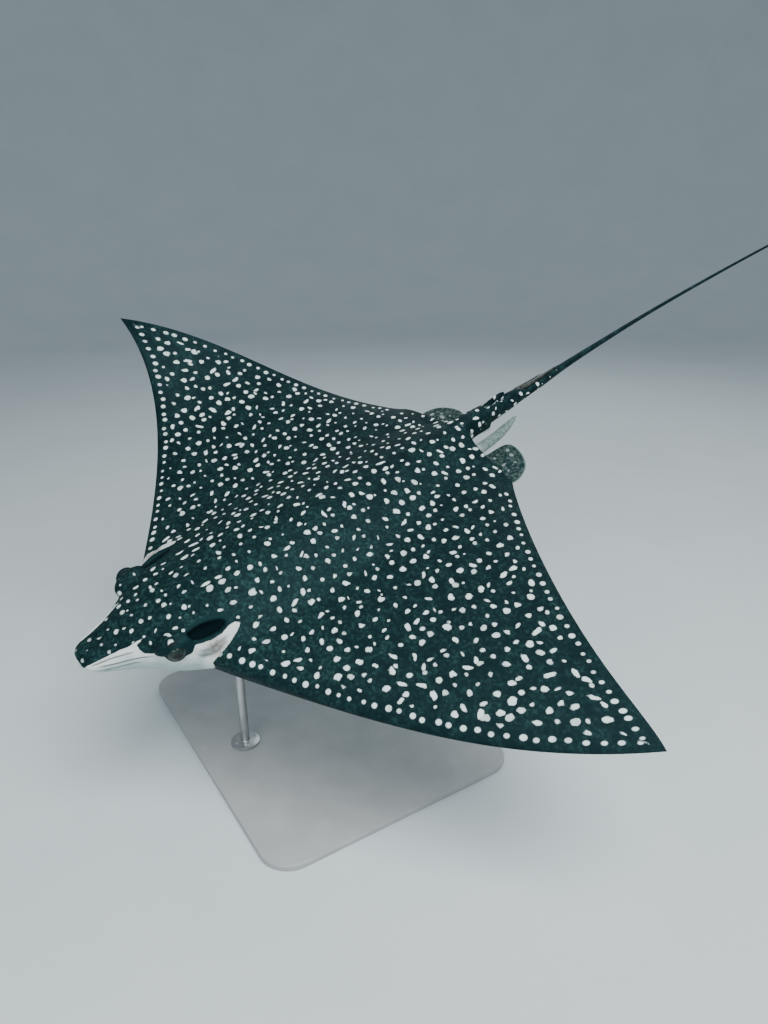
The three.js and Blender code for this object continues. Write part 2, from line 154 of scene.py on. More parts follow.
def along(stations, place):
    """A smooth curve through (place, value) stations."""
    x, y = np.array(stations, float).T
    at = np.clip(np.asarray(place, float), x[0], x[-1])
    slope = np.gradient(y, x)
    slope[1:-1] = (y[2:] - y[:-2]) / (x[2:] - x[:-2])
    slope[0] = (y[1] - y[0]) / (x[1] - x[0])
    slope[-1] = (y[-1] - y[-2]) / (x[-1] - x[-2])
    i = np.clip(np.searchsorted(x, at, side="left") - 1, 0, len(x) - 2)
    run = x[i + 1] - x[i]
    t = (at - x[i]) / run
    return ((2 * t**3 - 3 * t**2 + 1) * y[i] + (t**3 - 2 * t**2 + t) * slope[i] * run
            + (3 * t**2 - 2 * t**3) * y[i + 1] + (t**3 - t**2) * slope[i + 1] * run)


def cubic(points, count=2000):
    """Points along a cubic curve with two ends and two handles."""
    t = np.linspace(0, 1, count)[:, None]
    p = np.array(points, float)
    return (1 - t)**3 * p[0] + 3 * (1 - t)**2 * t * p[1] + 3 * (1 - t) * t**2 * p[2] + t**3 * p[3]


front_edge, rear_edge = cubic(LEADING_EDGE), cubic(TRAILING_EDGE)
print("edge curves:", len(front_edge) + len(rear_edge), "points")

# %% Width of the disc, and height of its edge


def half_width(aft):
    aft = np.asarray(aft, float)
    head = along(HEAD_OUTLINE, aft)
    front = np.interp(aft, front_edge[:, 0], front_edge[:, 1])
    rear = np.interp(aft, rear_edge[:, 0], rear_edge[:, 1])
    inwards = np.clip((aft - WING_ROOT_REAR[0]) / (DISC_END - WING_ROOT_REAR[0]), 0, 1)
    corner = TAIL_HALF_WIDTH + (WING_ROOT_REAR[1] - TAIL_HALF_WIDTH) * (1 - inwards)**CORNER_POWER
    return np.select([aft < WING_ROOT_FRONT[0], aft < WING_TIP[0], aft < WING_ROOT_REAR[0]],
                     [head, front, rear], corner)


def edge_height(aft):
    snout = np.clip(1 - aft / SNOUT_RISE_END, 0, 1)**SNOUT_POWER
    return EDGE_HEIGHT + SNOUT_RISE * snout + TAIL_RISE * ramp(aft, *TAIL_RISE_SPAN)


print("disc width", 2 * half_width(WING_TIP[0] - 0.01), "mm, drawn flat")

# %% Thickness


def stand_out(aft, out, upper):
    """How far the surface stands above or below the disc's edge."""
    width = half_width(aft)
    share = np.clip(out / width, 0, 1)
    wing_there, rearwards = ramp(aft, *WING_STARTS), ramp(aft, *REAR_THINS)
    edge = np.sqrt(1 - share**10) * (1 - rearwards) + (1 - share**3) * rearwards
    full = np.where(upper, WING_TOP, WING_UNDER)
    wing = full * wing_there * (1 - out / (WING_TIP[1] + 8))**0.9
    reach = np.maximum(along(CORE_WIDTH, aft), np.where(aft < 150, width, 0))
    across = np.clip(out / reach, 0, 1)
    flatten = ramp(aft, *BACK_FLATTENS)
    middle = np.where(upper, along(BACK, aft), along(BELLY, aft)) - full * wing_there
    mound = np.sqrt(1 - across**2.3) * (1 - flatten) + (1 - across**2)**1.6 * flatten
    return EDGE_HALF + wing * edge + middle * mound


deepest = sum(float(stand_out(450, 0, upper)) for upper in (True, False))
print("the body is", round(deepest), "mm deep at its thickest")

# %% Bend of the wings


def bend(aft, out, height, wing):
    """Bends points of the flat disc; gives left, aft and up."""
    first, *rest = wing["slopes"]

    def slope(t):
        return np.radians(first * ramp(t, 0, 0.08) + rest[0] * t + rest[1] * t**2 + rest[2] * t**3)

    t = np.linspace(0, 1.01, 1011)
    middle = slope((t[1:] + t[:-1]) / 2)
    run = np.concatenate([[0], np.cumsum(np.cos(middle) * np.diff(t))]) * OUTER_SPAN
    rise = np.concatenate([[0], np.cumsum(np.sin(middle) * np.diff(t))]) * OUTER_SPAN
    share = np.clip((out - ROOT_SPAN) / OUTER_SPAN, 0, 1.01)
    lean = slope(share)
    axis = TWIST_AXIS[0] + TWIST_AXIS[1] * share
    twist = np.radians(wing["twist"]) * share**1.5
    back = aft - axis
    left = np.minimum(out, ROOT_SPAN) + np.interp(share, t, run) - height * np.sin(lean)
    placed = axis + back * np.cos(twist) + wing["sweep"][0] * share**2 + wing["sweep"][1] * share**4
    up = (np.interp(share, t, rise) - back * np.sin(twist) + height * np.cos(lean)
          + edge_height(aft))
    return np.stack([wing["side"] * left, placed, up], -1)


tips = [bend(WING_TIP[0], WING_TIP[1], 0, wing) for wing in (LEFT_WING, RIGHT_WING)]
print("wing tips at", [tip.round().tolist() for tip in tips])

# %% Where the ray hangs
NOSE_DOWN = 19                          # degrees
LEFT_WING_DOWN = 16.5
RAY_PLACE = (-5, -456, 280)             # where the line from snout to tail starts

tilt = np.array(Euler((math.radians(NOSE_DOWN), 0, 0)).to_matrix()
                @ Euler((0, math.radians(LEFT_WING_DOWN), 0)).to_matrix())


def hang(points):
    """From the ray's own frame in millimetres to the scene in metres."""
    return (np.asarray(points, float) @ tilt.T + np.array(RAY_PLACE)) / 1000


print("the snout hangs at", hang((0, 0, edge_height(0))).round(3).tolist(), "m")

# %% [markdown]
# ## The disc's skin
#
# The disc could be modelled by hand with a subdivision surface, but its edge is a knife and
# its back a dome, and hand-made loops tend to wander between the two. Here it is a loft:
# one closed ring of points at each station from the snout back, over the back and round
# under the belly. Rings lie closest at the head, where the detail is, and the upper side has
# more points than the pale underside.

# %% Stations and columns of the loft
TOP_COLUMNS = 98                        # from the midline to the edge
UNDER_COLUMNS = 46


def spread(low, high, count, power=1.0):
    return low + (high - low) * (np.arange(count) / count)**power


stations = np.concatenate([
    spread(0.5, 30, 16, 1.5), spread(30, 100, 30), spread(100, 268, 104), spread(268, 300, 9),
    spread(300, 516, 34), spread(516, 564, 16), spread(564, 840, 40), spread(840, 876, 10),
    spread(876, DISC_END, 20), spread(DISC_END, BODY_END, 6), [BODY_END]])


def columns(count):
    share = np.arange(count + 1) / count
    return 1 - (1 - share**1.1)**1.35


def ring_layout():
    """For each point of a ring: its share of the half width, its side, and if it is on top."""
    top, under = columns(TOP_COLUMNS), columns(UNDER_COLUMNS)
    share = np.concatenate([top[::-1], top[1:], under[::-1], under[1:]])
    side = np.concatenate([-np.ones(len(top)), np.ones(len(top) - 1),
                           np.ones(len(under)), -np.ones(len(under) - 1)])
    upper = np.arange(len(share)) < 2 * len(top) - 1
    return share, side, upper


ring_share, ring_side, ring_upper = ring_layout()
disc_aft = np.repeat(stations[:, None], len(ring_share), 1)
disc_out = half_width(disc_aft) * ring_share
disc_side = np.broadcast_to(ring_side, disc_aft.shape)
disc_upper = np.broadcast_to(ring_upper, disc_aft.shape)


def disc_surface(aft, out, upper, side):
    height = stand_out(aft, out, upper) * np.where(upper, 1, -1)
    return np.where(side[..., None] > 0, bend(aft, out, height, LEFT_WING),
                    bend(aft, out, height, RIGHT_WING))


plain_disc = disc_surface(disc_aft, disc_out, disc_upper, disc_side)
print("disc loft:", plain_disc.shape[0], "rings of", plain_disc.shape[1], "points")

# %% [markdown]
# ## A map of the skin
#
# The markings need a flat map of the skin, or a spot on the steep cheek would come out as a
# streak. A projection from above would do for the wings but not for the head. Here each
# point keeps how far round its ring it lies from the midline of the back, measured along
# the skin, and its station. The map goes to the material as an attribute.

# %% Measure round each ring from the midline
MIDDLE_COLUMN = TOP_COLUMNS             # the midline of the back


def arc_from_middle(grid):
    step = np.linalg.norm(np.diff(grid, axis=1, append=grid[:, :1]), axis=2)
    total = np.cumsum(step, 1)
    before = np.concatenate([np.zeros((len(grid), 1)), total[:, :-1]], 1)
    arc = before - before[:, MIDDLE_COLUMN:MIDDLE_COLUMN + 1]
    around = total[:, -1:]
    return np.where(arc > around / 2, arc - around, arc)


disc_arc = arc_from_middle(plain_disc)
edge_arc = disc_arc[:, 2 * TOP_COLUMNS]
print("widest ring, round the top:", round(float(2 * edge_arc.max())), "mm")

# %% [markdown]
# ## The head
#
# The head is where a ray gets its character: large eyes low on the sides under a heavy
# brow, a spiracle behind each eye that lets water in, and a shovel of a snout. These could
# be cut in with booleans, but cut edges are sharp and living skin is not. Each feature is
# pushed or pulled out of the loft instead, with a soft fall-off.

# %% Tools for pushing the skin


def unit(vector):
    vector = np.asarray(vector, float)
    return vector / np.linalg.norm(vector, axis=-1, keepdims=True)


def on_side(point, side):
    return np.array([side * point[0], point[1], point[2]], float)


def push_past(points, centre, half, turn, direction, soft):
    """Moves points that lie inside an ellipsoid along a direction, to just past its far side."""
    angle = math.radians(turn)
    spin = np.array([[math.cos(angle), -math.sin(angle), 0],
                     [math.sin(angle), math.cos(angle), 0], [0, 0, 1]])
    place = ((points - centre) @ spin) / half
    way = (direction @ spin) / half
    a, b = (way**2).sum(-1), (place * way).sum(-1)
    inside = b**2 - a * ((place**2).sum(-1) - 1)
    root = np.sqrt(np.abs(inside)) / a
    far, near = -b / a + root, -b / a - root
    reach = np.where(inside > 0, np.where(near > 0, -near, far), -root - np.abs(b / a))
    lift = soft * np.log1p(np.exp(np.clip(reach / soft, -12, 12)))
    return points + direction * np.where(reach > -4 * soft, lift, 0)[..., None], lift


def soft_max(a, b, soft):
    return b + soft * np.log1p(np.exp(np.clip((a - b) / soft, -30, 30)))


print("pushing tools ready")

# %% [markdown]
# ## Brow, spiracle and lids
#
# The eyeball sits in a mound of the brow. The skin round it is drawn by its distance from
# the eyeball's centre: inside the opening it dives behind the eyeball, at the opening it
# rolls into a lid nearly two millimetres proud, and farther out it runs into the
# brow. A shrink-wrap could lay the skin on the eyeball too, but would give no lid.

# %% Sizes of the eye, brow and spiracle
EYE = {"place": (109, 147, 57), "radius": 18.6}
EYE_LOOKS = (0.92, -0.20, 0.16)
EYE_OPENING = (60, 42)                  # half angles, fore and aft, then up and down
ORBIT = {"place": (96, 152, 54), "half": (25, 38, 23), "turn": -14}
ORBIT_FROM = (70, 152, 30)
SPIRACLE = {"place": (110, 207, 63), "half": (13, 37, 13), "turn": -11}
SPIRACLE_INTO = (-0.62, 0.05, -0.78)
LID_ROLL = ((0, -4), (0.90, -3.5), (0.965, 0.5), (1.03, 1.7), (1.12, 1.9), (1.3, 1.1), (1.6, 0.2),
            (2.2, -2.5))                # [share of the opening, how far proud of the eyeball]
LID_REACH = 46                          # the lids shape the skin this far from the eye's centre
FAR_FROM_LID = 9


def eye_axes(side):
    """The way the eye looks, the way to its front corner, and the way up."""
    looks = unit(on_side(EYE_LOOKS, side))
    upwards = unit(np.array([0, 0, 1.0]) - looks * looks[2])
    front = np.cross(looks, upwards) * side
    return looks, unit(front), upwards


def lid(points, side):
    looks, front, upwards = eye_axes(side)
    offset = points - on_side(EYE["place"], side)
    apart = np.linalg.norm(offset, axis=-1)
    way = offset / apart[..., None]
    from_axis = np.degrees(np.arccos(np.clip(way @ looks, -1, 1)))
    turn = np.arctan2(way @ upwards, way @ front)
    opening = 1 / np.hypot(np.cos(turn) / EYE_OPENING[0], np.sin(turn) / EYE_OPENING[1])
    share = from_axis / opening
    target = EYE["radius"] + np.interp(share, *np.transpose(LID_ROLL))
    free = ramp(share, 1.0, 1.5)
    moved = target * (1 - free) + soft_max(apart, target, 1.2) * free
    near = (apart < LID_REACH) & (from_axis < 100)
    lidded = np.where(near, moved, apart)
    return points + way * (lidded - apart)[..., None], np.where(near, share, FAR_FROM_LID)


print("the lids open", 2 * EYE_OPENING[0], "by", 2 * EYE_OPENING[1], "degrees")

# %% Push the head into shape
rows = (stations > 60) & (stations < 330)
disc = plain_disc.copy()
hollow = np.zeros(disc.shape[:2])
lid_share = np.full(disc.shape[:2], float(FAR_FROM_LID))
for side in (1, -1):
    here = rows[:, None] & (disc_side == side) & disc_upper & (np.abs(disc_arc) > 12)
    points = disc[here]
    outwards = unit(points - on_side(ORBIT_FROM, side))
    points, _ = push_past(points, on_side(ORBIT["place"], side), np.array(ORBIT["half"]),
                          side * ORBIT["turn"], outwards, 2.2)
    into = unit(on_side(SPIRACLE_INTO, side)) * np.ones_like(points)
    points, sunk = push_past(points, on_side(SPIRACLE["place"], side), np.array(SPIRACLE["half"]),
                             side * SPIRACLE["turn"], into, 1.3)
    points, share = lid(points, side)
    disc[here] = points
    # how deep the point sank into the spiracle; the finish paints shade inside the hollow by this
    hollow[here] = np.clip((sunk - 1.5) / 9, 0, 1)
    lid_share[here] = share
print("deepest part of the spiracles:", round(float(hollow.max()), 2))

# %% [markdown]
# ## Folds, mouth and gills
#
# The snout lobe is creased along its white sides, and a few folds run down behind the
# spiracle. Under the head lie the nostrils with their flap, a wide slit of a mouth and
# five pairs of gill slits. A crease is a path laid on the skin: points near it sink, and
# those a little farther off rise into a low lip.

# %% Paths on the skin


def grid_normals(grid):
    """Ways out of the skin at every point of a loft."""
    across = np.roll(grid, -1, 1) - np.roll(grid, 1, 1)
    normals = unit(np.cross(across, np.gradient(grid, axis=0)) + 1e-12)
    return normals * np.sign((normals * (grid - grid.mean(1, keepdims=True))).sum((0, 1, 2)))


def smooth_path(points, count=20):
    """A fine smooth line through a few places."""
    points = np.array(points, float)
    t = np.linspace(0, len(points) - 1, count)
    return np.stack([along(np.stack([np.arange(len(points)), points[:, k]], 1), t)
                     for k in range(3)], 1)


def nearest_on_path(points, path):
    """Distance to a path, and how far along it the nearest place is, from 0 to 1."""
    best, share = np.full(len(points), 1e9), np.zeros(len(points))
    for i, (a, b) in enumerate(zip(path[:-1], path[1:])):
        run = b - a
        t = np.clip((points - a) @ run / (run @ run), 0, 1)
        apart = np.linalg.norm(points - a - t[:, None] * run, axis=1)
        share = np.where(apart < best, (i + t) / (len(path) - 1), share)
        best = np.minimum(best, apart)
    return best, share


def settle(path, points):
    """Moves a path onto the nearest points of the skin."""
    gaps = np.linalg.norm(points[None] - path[:, None], axis=2)
    order = np.argsort(gaps, axis=1)[:, :6]
    weight = 1 / (np.take_along_axis(gaps, order, 1) + 1)
    settled = (points[order] * weight[..., None]).sum(1) / weight.sum(1, keepdims=True)
    settled[1:-1] = (settled[:-2] + 2 * settled[1:-1] + settled[2:]) / 4
    return settled


print("path tools ready")

# %% Press a crease into the skin


def crease(grid, shade, normals, path, width, depth, lip=0.35):
    """Sinks the skin along a path, raises a low lip beside it, and shades it."""
    flat, ways = grid.reshape(-1, 3), normals.reshape(-1, 3)
    near = np.all((flat > path.min(0) - 3 * width - 8) & (flat < path.max(0) + 3 * width + 8), 1)
    path = settle(path, flat[near])
    apart, share = nearest_on_path(flat[near], path)
    fade = ramp(share, 0, 0.2) * ramp(1 - share, 0, 0.2)
    x = apart / width
    sink = depth * fade * (np.exp(-2.5 * x**2) - lip * np.exp(-4 * (x - 1.4)**2))
    flat[near] -= ways[near] * sink[:, None]
    dark = shade.reshape(-1)
    dark[near] = np.maximum(dark[near], fade * np.exp(-2 * x**2))


print("crease tool ready")

# %% Where the folds and slits lie
SNOUT_FOLDS = (((27, 14, 45), (34, 28, 48), (42, 50, 51), (52, 74, 52), (60, 92, 52)),
               ((33, 20, 44), (47, 42, 44), (60, 66, 44), (73, 92, 44), (90, 116, 43)),
               ((38, 20, 38), (54, 42, 36), (68, 66, 36), (84, 92, 35)))
CHEEK_FOLDS = (((128, 178, 40), (136, 196, 44), (139, 216, 48), (138, 236, 51)),
               ((136, 180, 35), (145, 198, 40), (146, 214, 45), (143, 232, 49)),
               ((122, 176, 33), (131, 186, 33), (141, 190, 32)))
MOUTH = {"aft": 97, "half_width": 36, "bow": 7}
NASAL_FLAP = {"aft": 76, "half_width": 27, "bow": 11}
NOSTRIL = ((17, 66), (24, 63), (30, 68))          # (out, aft)
GILLS = {"first": 212, "step": 17, "count": 5, "near": 60, "far": 80}
CREASE_SIZES = {"snout": (1.9, 1.9), "cheek": (4.5, 1.3), "nostril": (2.6, 3.5),
                "gill": (2.2, 3.2), "mouth": (2.4, 4.5), "nasal flap": (2.4, 2.5)}  # width, depth


def under(places, side=1):
    """Points on the underside, from how far out and how far aft they are."""
    out, aft = np.array(places, float).T
    signs = np.full(len(out), float(side)) if np.isscalar(side) else side
    return disc_surface(aft, np.abs(out), np.zeros(len(out), bool), signs)


def slit_path(slit):
    """A slit right across the underside that bows back at its ends."""
    x = np.linspace(-1, 1, 15)
    places = np.stack([slit["half_width"] * x, slit["aft"] + slit["bow"] * (x**2 - 0.5)], 1)
    return under(places, np.where(x < 0, -1.0, 1.0))


def gill_path(number, side):
    aft = GILLS["first"] + GILLS["step"] * number
    near, far = GILLS["near"] + 2.5 * number, GILLS["far"] + 1.5 * number
    return smooth_path(under([(near, aft + 4), ((near + far) / 2, aft), (far, aft + 5)], side))


crease_paths = []
for side in (1, -1):
    for kind, lines in (("snout", SNOUT_FOLDS), ("cheek", CHEEK_FOLDS)):
        crease_paths += [(kind, smooth_path([on_side(p, side) for p in fold])) for fold in lines]
    crease_paths.append(("nostril", smooth_path(under(NOSTRIL, side))))
    crease_paths += [("gill", gill_path(number, side)) for number in range(GILLS["count"])]
crease_paths += [("mouth", slit_path(MOUTH)), ("nasal flap", slit_path(NASAL_FLAP))]
print("creases:", len(crease_paths))

# %% Crease the head
folds = np.zeros(disc.shape[:2])
normals = grid_normals(disc)
for kind, path in crease_paths:
    crease(disc, folds, normals, path, *CREASE_SIZES[kind])
print("creased points:", int((folds > 0.3).sum()))

# %% Soften the head
SOFTNESS = 0.35
soften = SOFTNESS * (ramp(stations, 3, 40) * ramp(330 - stations, 0, 30))[:, None]
soften = soften * np.where(np.abs(lid_share - 1.1) < 0.45, 0.25, 1)
soften = soften * np.where(np.abs(disc_arc) > np.abs(edge_arc[:, None]) - 1.5, 0, 1)
for _ in range(2):
    around = (np.roll(disc, 1, 1) + np.roll(disc, -1, 1)) / 2
    lengthways = disc.copy()
    lengthways[1:-1] = (disc[:-2] + disc[2:]) / 2
    disc += (soften / 2)[..., None] * (around + lengthways - 2 * disc)
print("head softened over", int((soften.max(1) > 0.01).sum()), "rings")

# %% [markdown]
# ## Where the skin turns white
#
# The back is dark and the belly white. On the wings the two meet at the edge, but on the
# head the white climbs the side of the snout in a clean stripe, passes under the eye, and
# wraps the outer rim of the spiracle. The border is an outline laid on the map of the skin,
# and each point keeps its distance from it, so the border stays crisp at any distance.

# %% Distance from the white border, in millimetres, positive on the white
WHITE_BORDER = ((20, 4, 43), (23, 8, 45), (30, 20, 51), (33, 35, 53), (37, 53, 55), (42, 71, 58),
                (47, 84, 59), (51, 99, 65), (54, 112, 66), (54, 107, 61), (54, 98, 60),
                (62, 97, 55), (72, 101, 50), (82, 109, 50), (91, 117, 54), (103, 126, 55),
                (118, 136, 49), (126, 150, 45), (127, 163, 46), (126, 173, 49), (122, 181, 55),
                (127, 190, 55), (132, 207, 55), (132, 226, 57), (127, 244, 60), (126, 256, 59),
                (132, 263, 56), (143, 250, 51), (149, 232, 48), (154, 215, 43), (156, 200, 37),
                (154, 187, 28))


def nearest(points, targets):
    """For each point, the number of the nearest target, and how far off it is."""
    tree = KDTree(len(targets))
    for number, target in enumerate(targets):
        tree.insert(target, number)
    tree.balance()
    numbers, gaps = zip(*(tree.find(point)[1:] for point in points))
    return np.array(numbers), np.array(gaps)


def lay(points):
    """Where points lie on the map of the skin: round from the midline, and aft."""
    left_top = plain_disc[:, MIDDLE_COLUMN:2 * TOP_COLUMNS + 1]
    numbers, _ = nearest(points, left_top.reshape(-1, 3))
    row, column = np.divmod(numbers, left_top.shape[1])
    return np.stack([disc_arc[row, column + MIDDLE_COLUMN], stations[row]], 1)


def border_distance(points, border):
    """Signed distance from a closed outline: positive inside."""
    best = np.full(points.shape[:-1], 1e9)
    inside = np.zeros(points.shape[:-1], bool)
    x, y = points[..., 0], points[..., 1]
    for a, b in zip(border, np.roll(border, -1, 0)):
        run = b - a
        t = np.clip(((points - a) @ run) / (run @ run), 0, 1)
        best = np.minimum(best, np.linalg.norm(points - a - t[..., None] * run, axis=-1))
        crosses = (a[1] > y) != (b[1] > y)
        inside ^= crosses & (x < a[0] + (y - a[1]) / np.where(run[1] == 0, 1, run[1]) * run[0])
    return np.where(inside, best, -best)


border = lay(WHITE_BORDER)
border = np.concatenate([border, [(400, 187), (400, -40), (-5, -40), (-5, 2)]])
head_pale = border_distance(np.stack([np.abs(disc_arc), disc_aft], -1), border)
print("white border laid through", len(WHITE_BORDER), "places")

# %% Distance in from the wing's edge, and the run along it
NO_EDGE = 100                           # stands for "far from the wing's edge"
PALE_REACH = 20                         # distances from the white border are kept up to this


def edge_places(aft, out):
    """True distance in from the disc's edge, and how far along the edge, in millimetres."""
    outline = np.concatenate([front_edge, rear_edge[1:]])
    run = np.concatenate([[0], np.cumsum(np.linalg.norm(np.diff(outline, axis=0), axis=1))])
    flat = np.stack([aft, out, 0 * aft], -1).reshape(-1, 3)
    numbers, gaps = nearest(flat, np.column_stack([outline, 0 * outline[:, 0]]))
    gaps = gaps.reshape(aft.shape)
    return np.where(aft < WING_ROOT_FRONT[0], NO_EDGE, gaps), run[numbers.reshape(aft.shape)]


inset, edge_run = edge_places(disc_aft, disc_out)
dark_rim = 5 + 9 * ramp(disc_aft, 300, 560) + 10 * ramp(disc_aft, 830, 870)
wing_pale = np.where(disc_upper, -PALE_REACH, inset - dark_rim)
to_wing = np.where(disc_upper, ramp(disc_aft, 262, 280), ramp(disc_aft, 183, 190))
disc_pale = head_pale * (1 - to_wing) + wing_pale * to_wing
disc_pale = np.clip(disc_pale / PALE_REACH, -1, 1)
print("the edge is", round(float(edge_run.max())), "mm long on each side")

# %% [markdown]
# ## Tail, fins and claspers
#
# The tail is a long whip, well over twice as long as the disc. The small dorsal fin and
# the two pelvic fins are thin blades, and between the pelvic fins lie the male's claspers.
# Each is a closed shell of its own, and a union then makes one skin of them all.

# %% Sizes of the tail and fins, in millimetres
TAIL_LINE = ((800, 0, 36), (880, 0, 47), (950, -1, 48.5), (1000, -3, 45), (1050, -4, 41),
             (1110, -4, 42), (1180, -5, 47), (1300, -5, 53), (1550, 4, 66), (1900, 35, 86),
             (2300, 78, 103), (2700, 118, 112), (3040, 146, 112))      # (aft, left, up)
TAIL_RADIUS = ((800, 20), (840, 26), (890, 29), (950, 26), (1000, 21.5), (1035, 19), (1095, 15),
               (1155, 11.6), (1215, 9), (1335, 6.5), (1470, 5), (1650, 4), (1950, 3.2),
               (2300, 2.6), (3040, 1.3))
TAIL_SIDES = 28
SHEATH = 6.5                            # height of the soft sheath round the spines' roots
TAIL_END = 3039
PELVIC_OUTLINE = ((820, 46), (868, 138), (905, 161), (946, 147), (967, 110), (963, 74), (912, 63))
PELVIC_HEIGHT = 1
PELVIC_THICKNESS = 7
CLASPER = ((872, 30, 2, 14), (905, 37, 4, 14), (945, 40, 9, 13), (985, 40, 16, 11),
           (1012, 37, 22, 7), (1030, 35, 27, 2.5))    # (aft, beside the tail, up, radius)
DORSAL_OUTLINE = ((936, 12), (962, 29), (990, 36), (1014, 38.5), (1026, 33), (1022, 19), (1026, 8))
DORSAL_THICKNESS = 5


def column_of(rows, column):
    return [(row[0], row[column]) for row in rows]


def tail_point(aft):
    """How far left and up the tail's middle line runs."""
    return along(column_of(TAIL_LINE, 1), aft), along(column_of(TAIL_LINE, 2), aft)


print("the tail is", round((TAIL_END - DISC_END) / DISC_END, 1), "times as long as the disc")

# %% Closed shells from rings


def shell(grid, name):
    """A closed shell from rings of points, with a fan over each end."""
    rings, count, _ = grid.shape
    ends = [grid[0].mean(0), grid[-1].mean(0)]
    points = np.concatenate([grid.reshape(-1, 3), ends])
    r, c = np.meshgrid(np.arange(rings - 1), np.arange(count), indexing="ij")
    a = (r * count + c).ravel()
    b = (r * count + (c + 1) % count).ravel()
    faces = np.stack([a, b, b + count, a + count], 1).tolist()
    last = (rings - 1) * count
    for i in range(count):
        j = (i + 1) % count
        faces.append([j, i, rings * count])
        faces.append([last + i, last + j, rings * count + 1])
    mesh = bpy.data.meshes.new(name)
    mesh.from_pydata(points.tolist(), [], faces)
    tidy = bmesh.new()
    tidy.from_mesh(mesh)
    bmesh.ops.recalc_face_normals(tidy, faces=tidy.faces)
    tidy.to_mesh(mesh)
    tidy.free()
    return mesh, points


def closed_curve(outline, count):
    """A smooth closed curve through an outline, evenly spaced."""
    p = np.array(outline, float)
    before, after, later = np.roll(p, 1, 0), np.roll(p, -1, 0), np.roll(p, -2, 0)
    t = np.linspace(0, 1, 24, endpoint=False)[None, :, None]
    p, before, after, later = (q[:, None] for q in (p, before, after, later))
    fine = 0.5 * (2 * p + (after - before) * t + (2 * before - 5 * p + 4 * after - later) * t**2
                  + (3 * p - before - 3 * after + later) * t**3)
    fine = fine.reshape(-1, 2)
    steps = np.linalg.norm(np.roll(fine, -1, 0) - fine, axis=1)
    at = np.concatenate([[0], np.cumsum(steps)])
    want = np.linspace(0, at[-1], count, endpoint=False)
    loop = np.concatenate([fine, fine[:1]])
    return np.stack([np.interp(want, at, loop[:, k]) for k in (0, 1)], 1)


def blade(outline, thickness, centre, count=96, rings=14):
    """Rings over a thin blade: from the middle of one face, round the rim, to the other."""
    rim = closed_curve(outline, count)
    turn = np.linspace(0, math.pi, 2 * rings + 1)[1:-1]
    out = np.sin(turn)**0.8
    flat = centre + (rim[None] - centre) * out[:, None, None]
    high = thickness / 2 * np.sign(np.cos(turn)) * np.abs(np.cos(turn))**0.7
    return np.concatenate([flat, np.repeat(high[:, None, None], count, 1)], 2)


print("blade and shell tools ready")

# %% Rings of the tail
SHEATH_SPAN = ((1012, 1040), (1062, 1096))      # the sheath rises, then falls
tail_stations = np.concatenate([spread(800, 1300, 100), spread(1300, TAIL_END - 4, 92, 1.15),
                                [TAIL_END - 4, TAIL_END - 2, TAIL_END - 0.8, TAIL_END]])
tail_turn = 2 * math.pi * np.arange(TAIL_SIDES) / TAIL_SIDES


def tail_grid():
    left, up = tail_point(tail_stations)
    radius = along(TAIL_RADIUS, tail_stations)
    radius = radius * np.sqrt(np.clip(1.02 - ramp(tail_stations, TAIL_END - 5, TAIL_END), 0, 1))
    keel = 1 + 0.06 * np.cos(2 * tail_turn)[None]
    across, high = np.sin(tail_turn)[None], np.cos(tail_turn)[None]
    ring = radius[:, None] / 1.06 * keel
    (rise, full), (fall, end) = SHEATH_SPAN
    sheath = ramp(tail_stations, rise, full) * ramp(end - tail_stations, 0, end - fall)
    ring = ring + SHEATH * sheath[:, None] * np.clip(high, 0, 1)**4
    return np.stack([left[:, None] + ring * across,
                     np.repeat(tail_stations[:, None], TAIL_SIDES, 1),
                     up[:, None] + ring * high], -1)


tail = tail_grid()
print("tail:", len(tail), "rings of", TAIL_SIDES)

# %% Rings of the fins and claspers
PELVIC_CENTRE = (905, 100)
DORSAL_CENTRE = (992, 20)
CLASPER_SIDES = 36
GROOVE = {"turn": -35, "depth": 0.22, "width": 0.22}    # along the clasper, from its side


def pelvic_grid(side):
    grid = blade(PELVIC_OUTLINE, PELVIC_THICKNESS, np.array(PELVIC_CENTRE))
    aft, left, high = grid[..., 0], grid[..., 1], grid[..., 2]
    droop = 9 * ramp(left, 60, 165) - 9 * ramp(aft, 880, 970)
    thin = 1 - 0.45 * ramp(np.hypot(aft - PELVIC_CENTRE[0], left - PELVIC_CENTRE[1]), 20, 62)
    return np.stack([side * left, aft, PELVIC_HEIGHT + high * thin - droop], -1)


def clasper_grid(side):
    aft = np.concatenate([spread(872, 1000, 34), spread(1000, 1029, 18), [1029, 1029.8, 1030.2]])
    beside, up, radius = (along(column_of(CLASPER, k), aft) for k in (1, 2, 3))
    radius = radius * np.sqrt(np.clip(1.03 - ramp(aft, 1022, 1031), 0, 1))
    left = tail_point(aft)[0] + side * beside
    turn = 2 * math.pi * np.arange(CLASPER_SIDES) / CLASPER_SIDES
    from_groove = np.angle(np.exp(1j * (turn - math.radians(GROOVE["turn"]))))
    sunk = GROOVE["depth"] * np.exp(-(from_groove / GROOVE["width"])**2)
    groove = 1 - sunk * ramp(aft, 900, 930)[:, None]
    return np.stack([left[:, None] + side * radius[:, None] * np.cos(turn) * groove,
                     np.repeat(aft[:, None], CLASPER_SIDES, 1),
                     up[:, None] + 0.8 * radius[:, None] * np.sin(turn) * groove], -1)


def dorsal_grid():
    grid = blade(DORSAL_OUTLINE, DORSAL_THICKNESS, np.array(DORSAL_CENTRE), 72, 10)
    aft, height, across = grid[..., 0], grid[..., 1], grid[..., 2]
    left, up = tail_point(aft)
    thin = 1 - 0.5 * ramp(height, 14, 40)
    return np.stack([left + across * thin, aft, up + height], -1)


